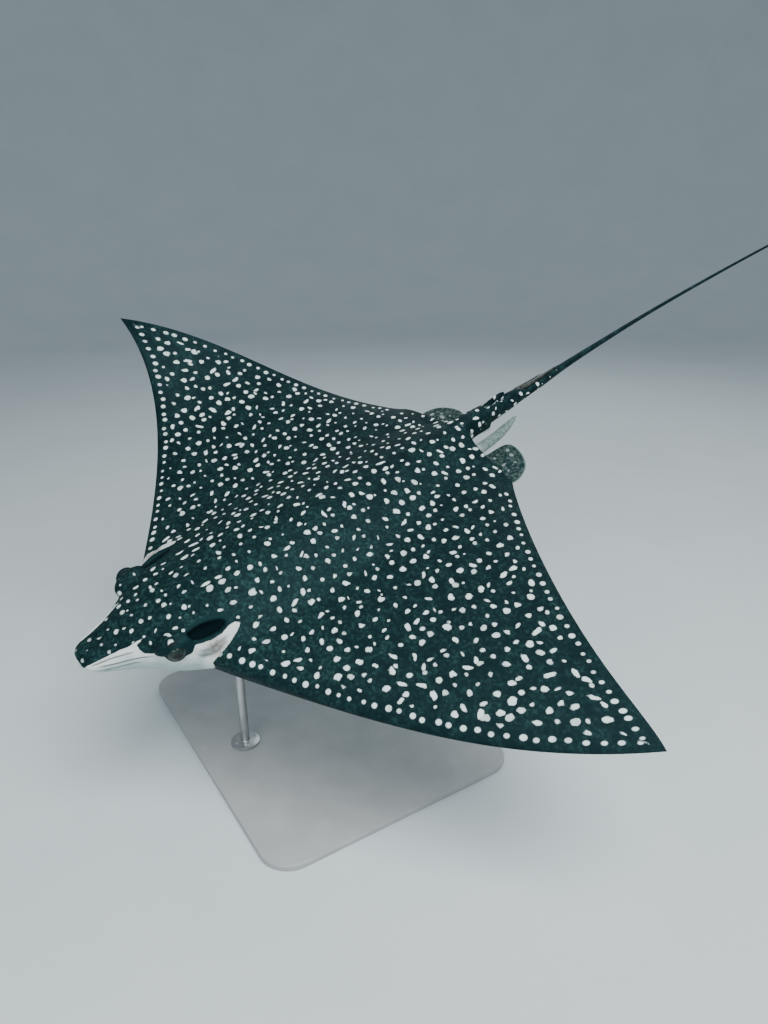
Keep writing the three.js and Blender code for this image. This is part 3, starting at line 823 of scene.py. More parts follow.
def cap_snout(grid):
    """Rounds the front of the loft over with two smaller rings."""
    first, middle = grid[0], grid[0].mean(0)
    rings = [middle + (first - middle) * share - np.array([0, ahead, 0])
             for share, ahead in ((0.45, 0.5), (0.8, 0.3))]
    return np.concatenate([np.stack(rings), grid])


shells = {"disc": cap_snout(disc), "tail": tail, "dorsal": dorsal_grid(),
          "pelvic_left": pelvic_grid(1), "pelvic_right": pelvic_grid(-1),
          "clasper_left": clasper_grid(1), "clasper_right": clasper_grid(-1)}
print({name: grid.shape[:2] for name, grid in shells.items()})

# %% [markdown]
# ## What each point of skin is
#
# Four attributes travel with the skin, each of up to three facts. "plan" is the map of the
# skin in metres, with the run along the wing's edge. "marks" holds the distance from the
# white border, the distance from the wing's edge, and how deep in a hollow the point lies.
# "parts" tells fin and clasper, and "shade" tells folds, the pink of the cheek and the bare
# skin round the eye. They are worked out on the shells, and handed on to the finished skin
# from the nearest point.

# %% Soft patches on the head
CHEEK_PINK = (141, 206, 46)


def patch(grid, place, reach):
    """A soft round patch on both sides of the head."""
    nearest = np.minimum(*(np.linalg.norm(grid - on_side(place, side), axis=2) for side in (1, -1)))
    return np.exp(-(nearest / reach)**2)


pink = patch(disc, CHEEK_PINK, 17)
spiracle_edge = np.minimum(*(np.linalg.norm(
    (disc - on_side(SPIRACLE["place"], side)) / (19, 43, 26), axis=2) for side in (1, -1)))
bare = np.maximum(ramp(2.05 - lid_share, 0, 0.5), ramp(1.2 - spiracle_edge, 0, 0.2))
print("pink points:", int((pink > 0.3).sum()), "bare points:", int((bare > 0.3).sum()))

# %% White below the tail
TAIL_WHITE = {"root": 126, "middle": 100, "end": 180}    # degrees from the top to the white


def tail_pale(turn, aft):
    """White below the tail, for an angle from its top; narrower further back."""
    reach = (TAIL_WHITE["root"] - (TAIL_WHITE["root"] - TAIL_WHITE["middle"]) * ramp(aft, 1000, 1070)
             + (TAIL_WHITE["end"] - TAIL_WHITE["middle"]) * ramp(aft, 1100, 1240))
    return np.clip((np.degrees(np.abs(turn)) - reach) / 40, -1, 1)


def disc_tail_pale():
    """The disc's own white, run into the tail's where the two meet."""
    left, up = tail_point(disc_aft)
    turn = np.arctan2(disc[..., 0] - left, disc[..., 2] - up)
    near_tail = ramp(disc_aft, 880, 900) * ramp(44 - disc_out, 0, 12)
    return disc_pale * (1 - near_tail) + tail_pale(turn, disc_aft) * near_tail


print("white round the tail's root:", 2 * (180 - TAIL_WHITE["root"]), "degrees")

# %% Facts for every point of the shells
ATTRIBUTES = {"plan": ("across", "aft", "run"), "marks": ("pale", "rim", "deep"),
              "parts": ("fin", "clasper"), "shade": ("fold", "blush", "bare")}
FACTS = [fact for names in ATTRIBUTES.values() for fact in names]


def special_facts(name, grid):
    """What differs from plain dark skin, for each kind of shell."""
    if name == "disc":
        return {"across": disc_arc / 1000, "aft": disc_aft / 1000, "run": edge_run / 1000,
                "pale": disc_tail_pale(), "rim": np.clip(inset / NO_EDGE, 0, 1),
                "deep": hollow, "fold": folds, "blush": pink, "bare": bare}
    if name == "tail":
        turn = np.angle(np.exp(1j * tail_turn))[None]
        return {"across": turn * along(TAIL_RADIUS, grid[..., 1]) / 1000,
                "pale": tail_pale(turn, grid[..., 1])}
    if name == "dorsal":
        return {"across": grid[..., 2] / 1000}
    if name.startswith("clasper"):
        return {"pale": 0.8, "clasper": ramp(grid[..., 1], 885, 920)}
    rings = np.arange(len(grid))[:, None]
    return {"rim": 1 - np.sin(math.pi * (rings + 1) / (len(grid) + 1)), "fin": 1,
            "pale": np.where(rings < len(grid) // 2, -1, 0.8)}


def facts(name, grid):
    """All facts for every point of a shell, with one more for the middle of each end."""
    table = dict.fromkeys(FACTS, 0) | {"pale": -1, "rim": 1, "across": grid[..., 0] / 1000,
                                       "aft": grid[..., 1] / 1000} | special_facts(name, grid)
    columns = np.stack([np.broadcast_to(table[fact], grid.shape[:2]) for fact in FACTS], -1)
    return np.concatenate([columns.reshape(-1, len(FACTS)), columns[[0, -1]].mean(1)])


print("facts:", ", ".join(FACTS))

# %% One skin from all the shells
meshes, source_points, source_facts = {}, [], []
for name, grid in shells.items():
    mesh, points = shell(hang(grid), name)
    meshes[name] = to_scene(name, mesh)
    source_points.append(points)
    if name == "disc":
        known = facts(name, disc)
        capped = len(grid) - len(disc)
        known = np.concatenate([known[:grid.shape[1]]] * capped + [known])
    else:
        known = facts(name, grid)
    source_facts.append(known)
source_points, source_facts = np.concatenate(source_points), np.concatenate(source_facts)


def join_shells(main, others):
    for other in others:
        union = main.modifiers.new(other.name, "BOOLEAN")
        union.operation, union.object, union.solver = "UNION", other, "MANIFOLD"
    joined = plain_mesh(main)
    for piece in [main] + others:
        bpy.data.objects.remove(piece)
    return joined


skin_mesh = join_shells(meshes["disc"], [meshes[n] for n in meshes if n != "disc"])
print("one skin with", len(skin_mesh.vertices), "points and", len(skin_mesh.polygons), "faces")

# %% Hand the facts on, and blend the joins


def points_of(mesh):
    flat = np.empty(len(mesh.vertices) * 3)
    mesh.vertices.foreach_get("co", flat)
    return flat.reshape(-1, 3)


def blend_joins(mesh, seams, reach=0.011, rounds=10):
    """Smooths the points near a join, most at the join itself."""
    points = points_of(mesh)
    _, apart = nearest(points, seams)
    weight = 0.6 * (1 - ramp(apart, 0.002, reach))
    edges = np.empty(len(mesh.edges) * 2, int)
    mesh.edges.foreach_get("vertices", edges)
    a, b = edges.reshape(-1, 2).T
    count = np.bincount(np.concatenate([a, b]), minlength=len(points))[:, None]
    for _ in range(rounds):
        total = np.zeros_like(points)
        np.add.at(total, a, points[b])
        np.add.at(total, b, points[a])
        points += weight[:, None] * (total / np.maximum(count, 1) - points)
    mesh.vertices.foreach_set("co", points.ravel())


JOIN_GAP = 2e-5                         # a point farther than this from any shell's is a join's
joined_points = points_of(skin_mesh)
source, apart = nearest(joined_points, source_points)
skin_facts = source_facts[source]
seams = joined_points[apart > JOIN_GAP]
blend_joins(skin_mesh, seams)
for name, names in ATTRIBUTES.items():
    vectors = np.zeros((len(skin_facts), 3))
    vectors[:, :len(names)] = skin_facts[:, [FACTS.index(fact) for fact in names]]
    stored = skin_mesh.attributes.new(name, "FLOAT_VECTOR", "POINT")
    stored.data.foreach_set("vector", vectors.ravel())
smooth(skin_mesh)
skin = to_scene("skin", skin_mesh)
print("joins blended round", len(seams), "points")

# %% [markdown]
# ## Eyes
#
# A ray's eye is a dark glossy ball with a low clear cornea, a dark olive iris, and a pupil
# that is wider than it is high. A plain UV sphere has its pole at the top, where the lids
# pinch it. Here the rings run round the way the eye looks, so the cornea can bulge
# smoothly, and each point keeps its place on the dial of the iris.

# %% Eyeballs
CORNEA = {"bulge": 1.1, "half_angle": 30}


def eyeball(side):
    looks, front, upwards = eye_axes(side)
    tilt_angle = np.radians(np.linspace(0.5, 179.5, 60))[:, None]
    turn = (2 * math.pi * np.arange(64) / 64)[None]
    bulge = CORNEA["bulge"] * np.exp(-(np.degrees(tilt_angle) / CORNEA["half_angle"])**2)
    radius = EYE["radius"] + bulge
    dial_x, dial_y = np.sin(tilt_angle) * np.cos(turn), np.sin(tilt_angle) * np.sin(turn)
    ahead = np.cos(tilt_angle) + 0 * turn
    grid = (on_side(EYE["place"], side) + radius[..., None] * (dial_x[..., None] * front
            + dial_y[..., None] * upwards + ahead[..., None] * looks))
    mesh, _ = shell(hang(grid), "eye")
    dial = np.stack([dial_x, dial_y, ahead], -1)
    dial = np.concatenate([dial.reshape(-1, 3), [(0, 0, 1), (0, 0, -1)]])
    mesh.attributes.new("dial", "FLOAT_VECTOR", "POINT").data.foreach_set("vector", dial.ravel())
    smooth(mesh)
    return mesh


eyes = {name: to_scene("eyeball_" + name, eyeball(side)) for name, side in (("left", 1), ("right", -1))}
print("eyeballs:", 2 * EYE["radius"], "mm across")

# %% [markdown]
# ## Stinging spines
#
# Just behind the dorsal fin lie two flat spines of hard dentine, grooved along the top,
# with barbs along both edges that point back towards the root. Modelling each barb by
# hand would take hours, so a node tree walks along the edges and sets a barb every couple
# of millimetres. Instances have to be made real at the end, or an export would lose them.

# %% Spine blades and their edges
SPINES = {"long": {"start": 1068, "end": 1200, "left": 2.5, "half": (4, 1.8)},
          "short": {"start": 1060, "end": 1150, "left": -6.5, "half": (3.4, 1.6)}}
SPINE_LIFT = 0.8                        # over the tail's skin
BARE_TIPS = 6                           # points at each end of a spine that carry no barbs
SPINE_TAPER = ((0, 0.7), (0.08, 1), (0.3, 0.95), (0.6, 0.75), (0.85, 0.45), (1, 0.1))


def spine_rings(spine, count=70, sides=16):
    share = np.linspace(0, 1, count)
    aft = spine["start"] + (spine["end"] - spine["start"]) * share
    left, up = tail_point(aft)
    left = left + spine["left"] * (1 - 0.4 * share)
    up = up + along(TAIL_RADIUS, aft) + spine["half"][1] + SPINE_LIFT + 3 * share
    taper = along(SPINE_TAPER, share)
    turn = 2 * math.pi * np.arange(sides) / sides
    wide, high = np.cos(turn), np.sin(turn)
    flat = np.sign(high) * np.abs(high)**1.5 * (1 - 0.45 * np.exp(-(wide / 0.28)**2) * (high > 0))
    x = left[:, None] + spine["half"][0] * 0.86 * taper[:, None] * wide
    z = up[:, None] + spine["half"][1] * taper[:, None] * flat
    grid = np.stack([x, np.repeat(aft[:, None], sides, 1), z], -1)
    return grid, grid[:, 0], grid[:, sides // 2]


def barb_rails(rails):
    """Two bare lines along the blade's edges that know which way their barbs lean."""
    mesh = bpy.data.meshes.new("rails")
    rails = [rail[BARE_TIPS:-BARE_TIPS] for rail in rails]
    points = np.concatenate([hang(rail) for rail in rails])
    between_rails = len(points) // 2 - 1
    links = [(i, i + 1) for i in range(len(points) - 1) if i != between_rails]
    mesh.from_pydata(points.tolist(), links, [])
    lean = []
    for way, rail in zip((1, -1), rails):
        forwards = unit(np.gradient(rail, axis=0))
        lean.append((0.75 * way * np.array([1.0, 0, 0]) - 0.66 * forwards) @ tilt.T)
    attribute = mesh.attributes.new("lean", "FLOAT_VECTOR", "POINT")
    attribute.data.foreach_set("vector", np.concatenate(lean).ravel())
    return mesh


print("spines:", ", ".join(str(s["end"] - s["start"]) + " mm" for s in SPINES.values()))

# %% Nodes with values and links


def fill(tree, node, inputs):
    """Links a node's inputs to sockets, and sets the others to plain values."""
    for key, value in inputs.items():
        if isinstance(value, bpy.types.NodeSocket):
            tree.links.new(value, node.inputs[key])
        else:
            node.inputs[key].default_value = value
    return node


def place_node(tree, kind, inputs=None, **settings):
    """A node with its settings, and values or links for its inputs by name or number."""
    node = tree.nodes.new(kind)
    for key, value in settings.items():
        setattr(node, key, value)
    return fill(tree, node, inputs or {})


def new_group(name, kind, inputs, outputs):
    """A node tree with named sockets; gives the tree, its inputs, and its output node."""
    tree = bpy.data.node_groups.new(name, kind)
    for title, socket, value in inputs:
        made = tree.interface.new_socket(title, in_out="INPUT", socket_type="NodeSocket" + socket)
        if value is not None:
            made.default_value = value
    for title, socket in outputs:
        tree.interface.new_socket(title, in_out="OUTPUT", socket_type="NodeSocket" + socket)
    return tree, tree.nodes.new("NodeGroupInput").outputs, tree.nodes.new("NodeGroupOutput")


print("node tools ready")

# %% Geometry trees on a piece


def use_nodes(piece, tree, values):
    """Runs a node tree on a piece, and leaves the plain mesh that it makes."""
    worker = piece.modifiers.new("nodes", "NODES")
    worker.node_group = tree
    for item in tree.interface.items_tree:
        if item.item_type == "SOCKET" and item.in_out == "INPUT" and item.name in values:
            worker[item.identifier] = values[item.name]
    mesh = plain_mesh(piece)
    piece.modifiers.remove(worker)
    piece.data = mesh
    return mesh


def make_real(tree, instances, finish):
    """Turns instances into plain mesh with a material."""
    real = place_node(tree, "GeometryNodeRealizeInstances", {"Geometry": instances})
    return place_node(tree, "GeometryNodeSetMaterial", {"Geometry": real.outputs["Geometry"],
                                                        "Material": finish}).outputs["Geometry"]


def barb_tree():
    tree, given, made = new_group(
        "barbs along an edge", "GeometryNodeTree",
        [("Edges", "Geometry", None), ("Spacing", "Float", 0.0024), ("Length", "Float", 0.0024),
         ("Thickness", "Float", 0.0005), ("Finish", "Material", None)], [("Barbs", "Geometry")])
    curve = place_node(tree, "GeometryNodeMeshToCurve", {"Mesh": given["Edges"]})
    points = place_node(tree, "GeometryNodeCurveToPoints",
                        {"Curve": curve.outputs["Curve"], "Length": given["Spacing"]}, mode="LENGTH")
    lean = place_node(tree, "GeometryNodeInputNamedAttribute", {"Name": "lean"}, data_type="FLOAT_VECTOR")
    turn = place_node(tree, "FunctionNodeAlignRotationToVector",
                      {"Vector": lean.outputs["Attribute"]}, axis="Z")
    barb = place_node(tree, "GeometryNodeMeshCone",
                      {"Vertices": 5, "Radius Bottom": given["Thickness"], "Depth": given["Length"],
                       "Radius Top": 0.00005})
    sized = place_node(tree, "FunctionNodeRandomValue",
                       {2: 0.75, 3: 1.1, "Seed": 4}, data_type="FLOAT")
    placed = place_node(tree, "GeometryNodeInstanceOnPoints",
                        {"Points": points.outputs["Points"], "Instance": barb.outputs["Mesh"],
                         "Rotation": turn.outputs["Rotation"], "Scale": sized.outputs[1]})
    fill(tree, made, {"Barbs": make_real(tree, placed.outputs["Instances"], given["Finish"])})
    return tree


barbs = barb_tree()
print("barb tree:", len(barbs.nodes), "nodes")

# %% [markdown]
# ## Shared effects
#
# Several finishes need the same things: a fine grain, a soft threshold, and a mix of two
# colours. Short helpers keep the trees readable. What more than one material uses becomes
# a node group with named sockets, so that each material only states its own values.

# %% Helpers for shader trees


def compute(tree, operation, *values):
    node = place_node(tree, "ShaderNodeMath", dict(enumerate(values)), operation=operation)
    return node.outputs[0]


def times(tree, a, b):
    return compute(tree, "MULTIPLY", a, b)


def line(tree, value, slope, start):
    """start + slope x value"""
    return compute(tree, "MULTIPLY_ADD", value, slope, start)


def from_middle(tree, x, y):
    return compute(tree, "SQRT", compute(tree, "ADD", times(tree, x, x), times(tree, y, y)))


def between(tree, value, low, high, to_low=0.0, to_high=1.0):
    """A soft step from low to high."""
    node = place_node(tree, "ShaderNodeMapRange",
                      {"Value": value, "From Min": low, "From Max": high, "To Min": to_low,
                       "To Max": to_high}, interpolation_type="SMOOTHSTEP")
    return node.outputs["Result"]


def blend_colours(tree, factor, a, b):
    """Goes from colour a to colour b as the factor goes from 0 to 1."""
    a, b = (c if isinstance(c, bpy.types.NodeSocket) else (*c, 1) for c in (a, b))
    return place_node(tree, "ShaderNodeMix", {0: factor, 6: a, 7: b}, data_type="RGBA").outputs[2]


def noise(tree, coordinates, scale, detail=2.0, roughness=0.5, output="Fac"):
    node = place_node(tree, "ShaderNodeTexNoise",
                      {"Vector": coordinates, "Scale": scale, "Detail": detail,
                       "Roughness": roughness})
    return node.outputs[output]


def split(tree, vector):
    return place_node(tree, "ShaderNodeSeparateXYZ", {"Vector": vector}).outputs


def new_material(name):
    material = bpy.data.materials.new(name)
    material.use_nodes = True
    tree = material.node_tree
    return material, tree, tree.nodes["Principled BSDF"]


def bump(tree, height, strength, distance):
    return place_node(tree, "ShaderNodeBump", {"Height": height, "Strength": strength,
                                               "Distance": distance}).outputs["Normal"]


print("shader helpers ready")

# %% Grain group, shared by every finish but the eyes'


def grain_group():
    tree, given, made = new_group(
        "grain", "ShaderNodeTree",
        [("Coordinates", "Vector", None), ("Size", "Float", 0.002), ("Clumps", "Float", 0.03)],
        [("Height", "Float"), ("Blotch", "Float")])
    fine = noise(tree, given["Coordinates"], compute(tree, "DIVIDE", 1.0, given["Size"]), 3)
    broad = noise(tree, given["Coordinates"], compute(tree, "DIVIDE", 1.0, given["Clumps"]), 4, 0.6)
    fill(tree, made, {"Height": fine, "Blotch": between(tree, broad, 0.35, 0.68)})
    return tree


grain = grain_group()


def use_group(tree, group, inputs):
    return place_node(tree, "ShaderNodeGroup", inputs, node_tree=group).outputs


def object_coordinates(tree):
    return place_node(tree, "ShaderNodeTexCoord").outputs["Object"]


def use_grain(tree, size, clumps):
    return use_group(tree, grain, {"Coordinates": object_coordinates(tree), "Size": size,
                                   "Clumps": clumps})


print("grain group:", len(grain.nodes), "nodes")

# %% [markdown]
# ## Spots
#
# Hundreds of white spots cover the back, each about 10 mm across and some 25 mm from the
# next, in no strict order but never crowded. Scattered discs would float over the skin.
# Cells of a Voronoi pattern, laid on the skin's own map, give just that spacing. Each
# cell's random colour sets how large, how long and which way round its spot is.

# %% Cells of the spots, each with its own chance


def vector_math(tree, operation, *values):
    return place_node(tree, "ShaderNodeVectorMath", dict(enumerate(values)),
                      operation=operation).outputs


def spot_cells(tree, place, pitch):
    """The way from the middle of a point's cell, and three chances that the cell drew."""
    wobble = vector_math(tree, "SUBTRACT", noise(tree, place, 55.0, 1, output="Color"),
                         (0.5, 0.5, 0.5))[0]
    moved = vector_math(tree, "MULTIPLY_ADD", wobble, (0.009, 0.009, 0), place)[0]
    cells = place_node(tree, "ShaderNodeTexVoronoi",
                       {"Vector": moved, "Scale": compute(tree, "DIVIDE", 1.0, pitch),
                        "Randomness": 0.74}, voronoi_dimensions="2D")
    offset = vector_math(tree, "SUBTRACT", moved, cells.outputs["Position"])[0]
    return offset, split(tree, cells.outputs["Color"])


print("spot cells ready")

# %% Spot group


def spot_group():
    tree, given, made = new_group(
        "spots", "ShaderNodeTree",
        [("Map", "Vector", None), ("Pitch", "Float", 0.026), ("Radius", "Float", 0.27),
         ("Variation", "Float", 0.17)],
        [("Mask", "Float"), ("Halo", "Float"), ("Tint", "Float")])
    offset, chance = spot_cells(tree, given["Map"], given["Pitch"])
    turned = place_node(tree, "ShaderNodeVectorRotate",
                        {"Vector": offset, "Angle": times(tree, chance[2], 6.2832)},
                        rotation_type="Z_AXIS")
    x, y, _ = split(tree, turned.outputs[0])
    longer = between(tree, chance[0], 0.45, 1.0, 1.0, 0.66)
    flat = place_node(tree, "ShaderNodeCombineXYZ", {0: times(tree, x, longer),
                                                     1: compute(tree, "DIVIDE", y, longer)})
    apart = vector_math(tree, "LENGTH", flat.outputs[0])["Value"]
    cell_apart = compute(tree, "DIVIDE", apart, given["Pitch"])
    ragged = line(tree, noise(tree, given["Map"], 210.0, 2), 0.13, -0.065)
    size = line(tree, compute(tree, "SUBTRACT", chance[1], 0.5), given["Variation"], given["Radius"])
    beyond = compute(tree, "SUBTRACT", compute(tree, "ADD", cell_apart, ragged), size)
    fill(tree, made, {"Mask": between(tree, beyond, 0.030, -0.075),
                      "Halo": between(tree, beyond, 0.16, 0.0), "Tint": chance[0]})
    return tree


spots = spot_group()
print("spot group:", len(spots.nodes), "nodes")

# %% A row of small spots along the wing's edge


def row_group():
    tree, given, made = new_group(
        "row of spots", "ShaderNodeTree",
        [("Run", "Float", 0.0), ("Inset", "Float", 0.0), ("Step", "Float", 0.021),
         ("Row", "Float", 0.018), ("Radius", "Float", 0.0042)], [("Mask", "Float")])
    steps = compute(tree, "DIVIDE", given["Run"], given["Step"])
    number = compute(tree, "FLOOR", steps)
    chance = split(tree, place_node(tree, "ShaderNodeTexWhiteNoise", {"W": number},
                                    noise_dimensions="1D").outputs["Color"])
    middle = line(tree, chance[0], 0.3, 0.35)
    x = compute(tree, "SUBTRACT", compute(tree, "SUBTRACT", steps, number), middle)
    x = times(tree, x, given["Step"])
    y = compute(tree, "SUBTRACT", given["Inset"], line(tree, chance[1], 0.005, given["Row"]))
    size = times(tree, given["Radius"], line(tree, chance[2], 0.5, 0.75))
    beyond = compute(tree, "SUBTRACT", from_middle(tree, x, y), size)
    fill(tree, made, {"Mask": between(tree, beyond, 0.0006, -0.0016)})
    return tree


rows_of_spots = row_group()
print("row group:", len(rows_of_spots.nodes), "nodes")

# %% [markdown]
# ## The skin's finish
#
# Eagle ray skin is smooth and damp, dark green-grey above and white below. The finish stacks
# layers: a mottled dark ground, the spots, then the white of the underside and cheeks with
# its border, and last painted shade in the folds and hollows. One material does it all,
# steered by the skin's attributes, so that no seam shows where one area ends.

# %% Colours of the skin
DARK = (0.0012, 0.0070, 0.0092)
DARK_OLIVE = (0.0200, 0.0560, 0.0540)
SPOT_WHITE = (0.74, 0.86, 0.87)
BELLY_WHITE = (0.70, 0.745, 0.735)
BELLY_SHADE = (0.46, 0.53, 0.53)
CHIN_SHADE = (0.33, 0.44, 0.45)
CHEEK_ROSE = (0.25, 0.185, 0.165)
# near black: the ink of the rings round the spots, and painted shade inside the spiracles
INK_RING_AND_HOLLOW_SHADE = (0.0010, 0.0042, 0.0056)
FOLD_SHADE = (0.05, 0.065, 0.068)
LID_DARK = (0.0040, 0.0170, 0.0190)
FIN_DARK = (0.006, 0.020, 0.020)
FIN_PALE = (0.17, 0.22, 0.21)
CLASPER_GREY = (0.17, 0.23, 0.22)
# painted light: a cyan tint on all the skin's reflections, standing in for light through water
WATER_LIGHT_REFLECTION_TINT = (0.42, 0.85, 0.95, 1)


def attribute(tree, name):
    return place_node(tree, "ShaderNodeAttribute", attribute_name=name).outputs["Vector"]


def read_skin(tree):
    """Every fact that the skin carries, and the grain that its layers share, by name."""
    known = {"plan": attribute(tree, "plan"), "place": object_coordinates(tree)}
    for name, names in ATTRIBUTES.items():
        known |= dict(zip(names, split(tree, attribute(tree, name))))
    mottled = use_grain(tree, 0.0022, 0.028)
    known |= {"out": compute(tree, "ABSOLUTE", known["across"]), "height": mottled["Height"],
              "blotch": mottled["Blotch"],
              "fine": between(tree, noise(tree, known["place"], 150.0, 3, 0.65), 0.42, 0.7)}
    return SimpleNamespace(**known)


print("the ground is about", round(SPOT_WHITE[1] / DARK[1]), "times as dark as the spots")

# %% [markdown]
# The dark ground is charcoal, with olive between the shoulders. The spots are smaller and
# closer on the head, larger out on the wings, and shrink to nothing before the row that
# runs along the wing's edge. Each has a thin darker ring round it, as if inked.

# %% Dark ground, and where the spots are


def dark_ground(tree, at):
    olive = times(tree, between(tree, at.out, 0.5, 0.08), between(tree, at.aft, 0.75, 0.25))
    olive = line(tree, olive, 0.30, line(tree, at.blotch, 0.55, 0.12))
    olive = times(tree, olive, line(tree, at.fine, 0.95, 0.15))
    ground = blend_colours(tree, olive, DARK, DARK_OLIVE)
    return blend_colours(tree, at.bare, ground, LID_DARK)


def skin_spots(tree, at):
    """How white a point's spot is, and how dark the ring round it."""
    head, snout = between(tree, at.aft, 0.33, 0.16), between(tree, at.aft, 0.10, 0.03)
    closer = place_node(tree, "ShaderNodeVectorMath",
                        {0: at.plan, "Scale": line(tree, head, 0.10, 1.0)}, operation="SCALE")
    radius = line(tree, between(tree, at.out, 0.15, 0.68), 0.047, 0.176)
    near_edge = compute(tree, "SUBTRACT", between(tree, at.rim, 0.25, 0.34), 1.0)
    thin_tail = between(tree, at.aft, 1.05, 1.36)
    for there, change in ((head, -0.012), (near_edge, 0.30), (snout, -0.035),
                          (thin_tail, -0.30), (at.bare, -0.30)):
        radius = line(tree, there, change, radius)
    pattern = use_group(tree, spots, {"Map": closer.outputs[0], "Pitch": 0.0246, "Radius": radius,
                                      "Variation": 0.15})
    row = use_group(tree, rows_of_spots, {"Run": at.run, "Inset": times(tree, at.rim, 0.1),
                                          "Step": 0.0205, "Row": 0.0155, "Radius": 0.0046})
    on_wing = times(tree, between(tree, at.out, 0.14, 0.19), between(tree, at.aft, 0.846, 0.838))
    spotted = compute(tree, "MAXIMUM", pattern["Mask"], times(tree, row["Mask"], on_wing))
    spotted = times(tree, spotted, between(tree, at.pale, 0.0, -0.12))
    for strength in (line(tree, at.fin, -0.72, 1.0), line(tree, snout, -0.45, 1.0),
                     between(tree, pattern["Tint"], 0.0, 0.35, 0.72, 1.0)):
        spotted = times(tree, spotted, strength)
    return spotted, times(tree, compute(tree, "SUBTRACT", pattern["Halo"], pattern["Mask"]), 0.35)


print("spots on the skin ready")

# %% [markdown]
# The fins have a paler, blotched ground. The white of the belly and cheeks meets the back
# in a crisp but slightly ragged border. Painted shade darkens it under the chin, and it is rosy
# behind the eye. Painted shade in folds and hollows comes last, as it darkens all it crosses.

# %% Back, belly and the border between them


def dark_back(tree, at):
    spotted, ring = skin_spots(tree, at)
    ground = blend_colours(tree, ring, dark_ground(tree, at), INK_RING_AND_HOLLOW_SHADE)
    fin_pale = compute(tree, "MAXIMUM", between(tree, at.rim, 0.09, 0.0), times(tree, at.fine, 0.42))
    ground = blend_colours(tree, at.fin, ground, blend_colours(tree, fin_pale, FIN_DARK, FIN_PALE))
    return blend_colours(tree, spotted, ground, SPOT_WHITE)


def white_belly(tree, at):
    belly = blend_colours(tree, times(tree, at.blotch, 0.45), BELLY_WHITE, BELLY_SHADE)
    rosy = times(tree, at.blush, line(tree, at.fine, 0.6, 0.55))
    belly = blend_colours(tree, rosy, belly, CHEEK_ROSE)
    # painted shade under the chin and head, deepest away from the white border
    chin = times(tree, between(tree, at.pale, 0.35, 1.2), between(tree, at.aft, 0.30, 0.17))
    return blend_colours(tree, times(tree, chin, 0.75), belly, CHIN_SHADE)


def skin_colour(tree, at):
    ragged = line(tree, noise(tree, at.place, 260.0, 3), 0.11, -0.055)
    white = between(tree, compute(tree, "ADD", at.pale, ragged), -0.035, 0.035)
    colour = blend_colours(tree, white, dark_back(tree, at), white_belly(tree, at))
    clasper_colour = blend_colours(tree, times(tree, at.fine, 0.6), CLASPER_GREY, FIN_DARK)
    colour = blend_colours(tree, at.clasper, colour, clasper_colour)
    colour = blend_colours(tree, times(tree, at.fold, 0.8), colour, FOLD_SHADE)
    # painted shade: the spiracles' hollows go near black as they deepen
    return blend_colours(tree, between(tree, at.deep, 0.02, 0.45), colour, INK_RING_AND_HOLLOW_SHADE)


print("colours of the skin ready")

# %% Relief of the skin, and the whole finish


def skin_relief(tree, at):
    """Fine grain, and faint ribs of gristle that fan out into the wings."""
    angle = compute(tree, "ARCTAN2", compute(tree, "SUBTRACT", at.aft, 0.43), at.out)
    fan = place_node(tree, "ShaderNodeCombineXYZ", {0: times(tree, angle, 26.0),
                                                    1: times(tree, at.out, 2.5)})
    ribs = times(tree, noise(tree, fan.outputs[0], 1.0, 1), between(tree, at.out, 0.16, 0.34))
    return bump(tree, line(tree, ribs, 1.6, times(tree, at.height, 0.07)), 0.55, 0.001)


def skin_material():
    material, tree, shader = new_material("ray skin")
    at = read_skin(tree)
    rough = line(tree, at.deep, 0.35, line(tree, at.height, 0.12, 0.50))
    # the specular tint is painted light, a cyan cast on reflections in place of water-coloured light
    fill(tree, shader, {"Base Color": skin_colour(tree, at), "Roughness": rough,
                        "Normal": skin_relief(tree, at), "Specular IOR Level": 0.15,
                        "Specular Tint": WATER_LIGHT_REFLECTION_TINT})
    return material


skin.data.materials.clear()
skin.data.materials.append(skin_material())
print("skin material:", len(skin.data.materials[0].node_tree.nodes), "nodes")

# %% [markdown]
# ## The eyes' and spines' finishes
#
# An eye is wet: the colour lies deep and a clear coat lies over it. The iris has fine
# streaks from the pupil outwards, and the ball darkens towards the lids. The spines are
# dull and slate dark, with worn, paler patches.

# %% Eye material
IRIS_DARK, IRIS_OLIVE = (0.005, 0.014, 0.014), (0.020, 0.042, 0.036)
IRIS_RING, PUPIL_BLACK = (0.050, 0.062, 0.042), (0.0012, 0.0015, 0.002)
EYE_RIM = (0.006, 0.013, 0.014)
PUPIL_FLATNESS = 1.45                   # how much wider than high the pupil is


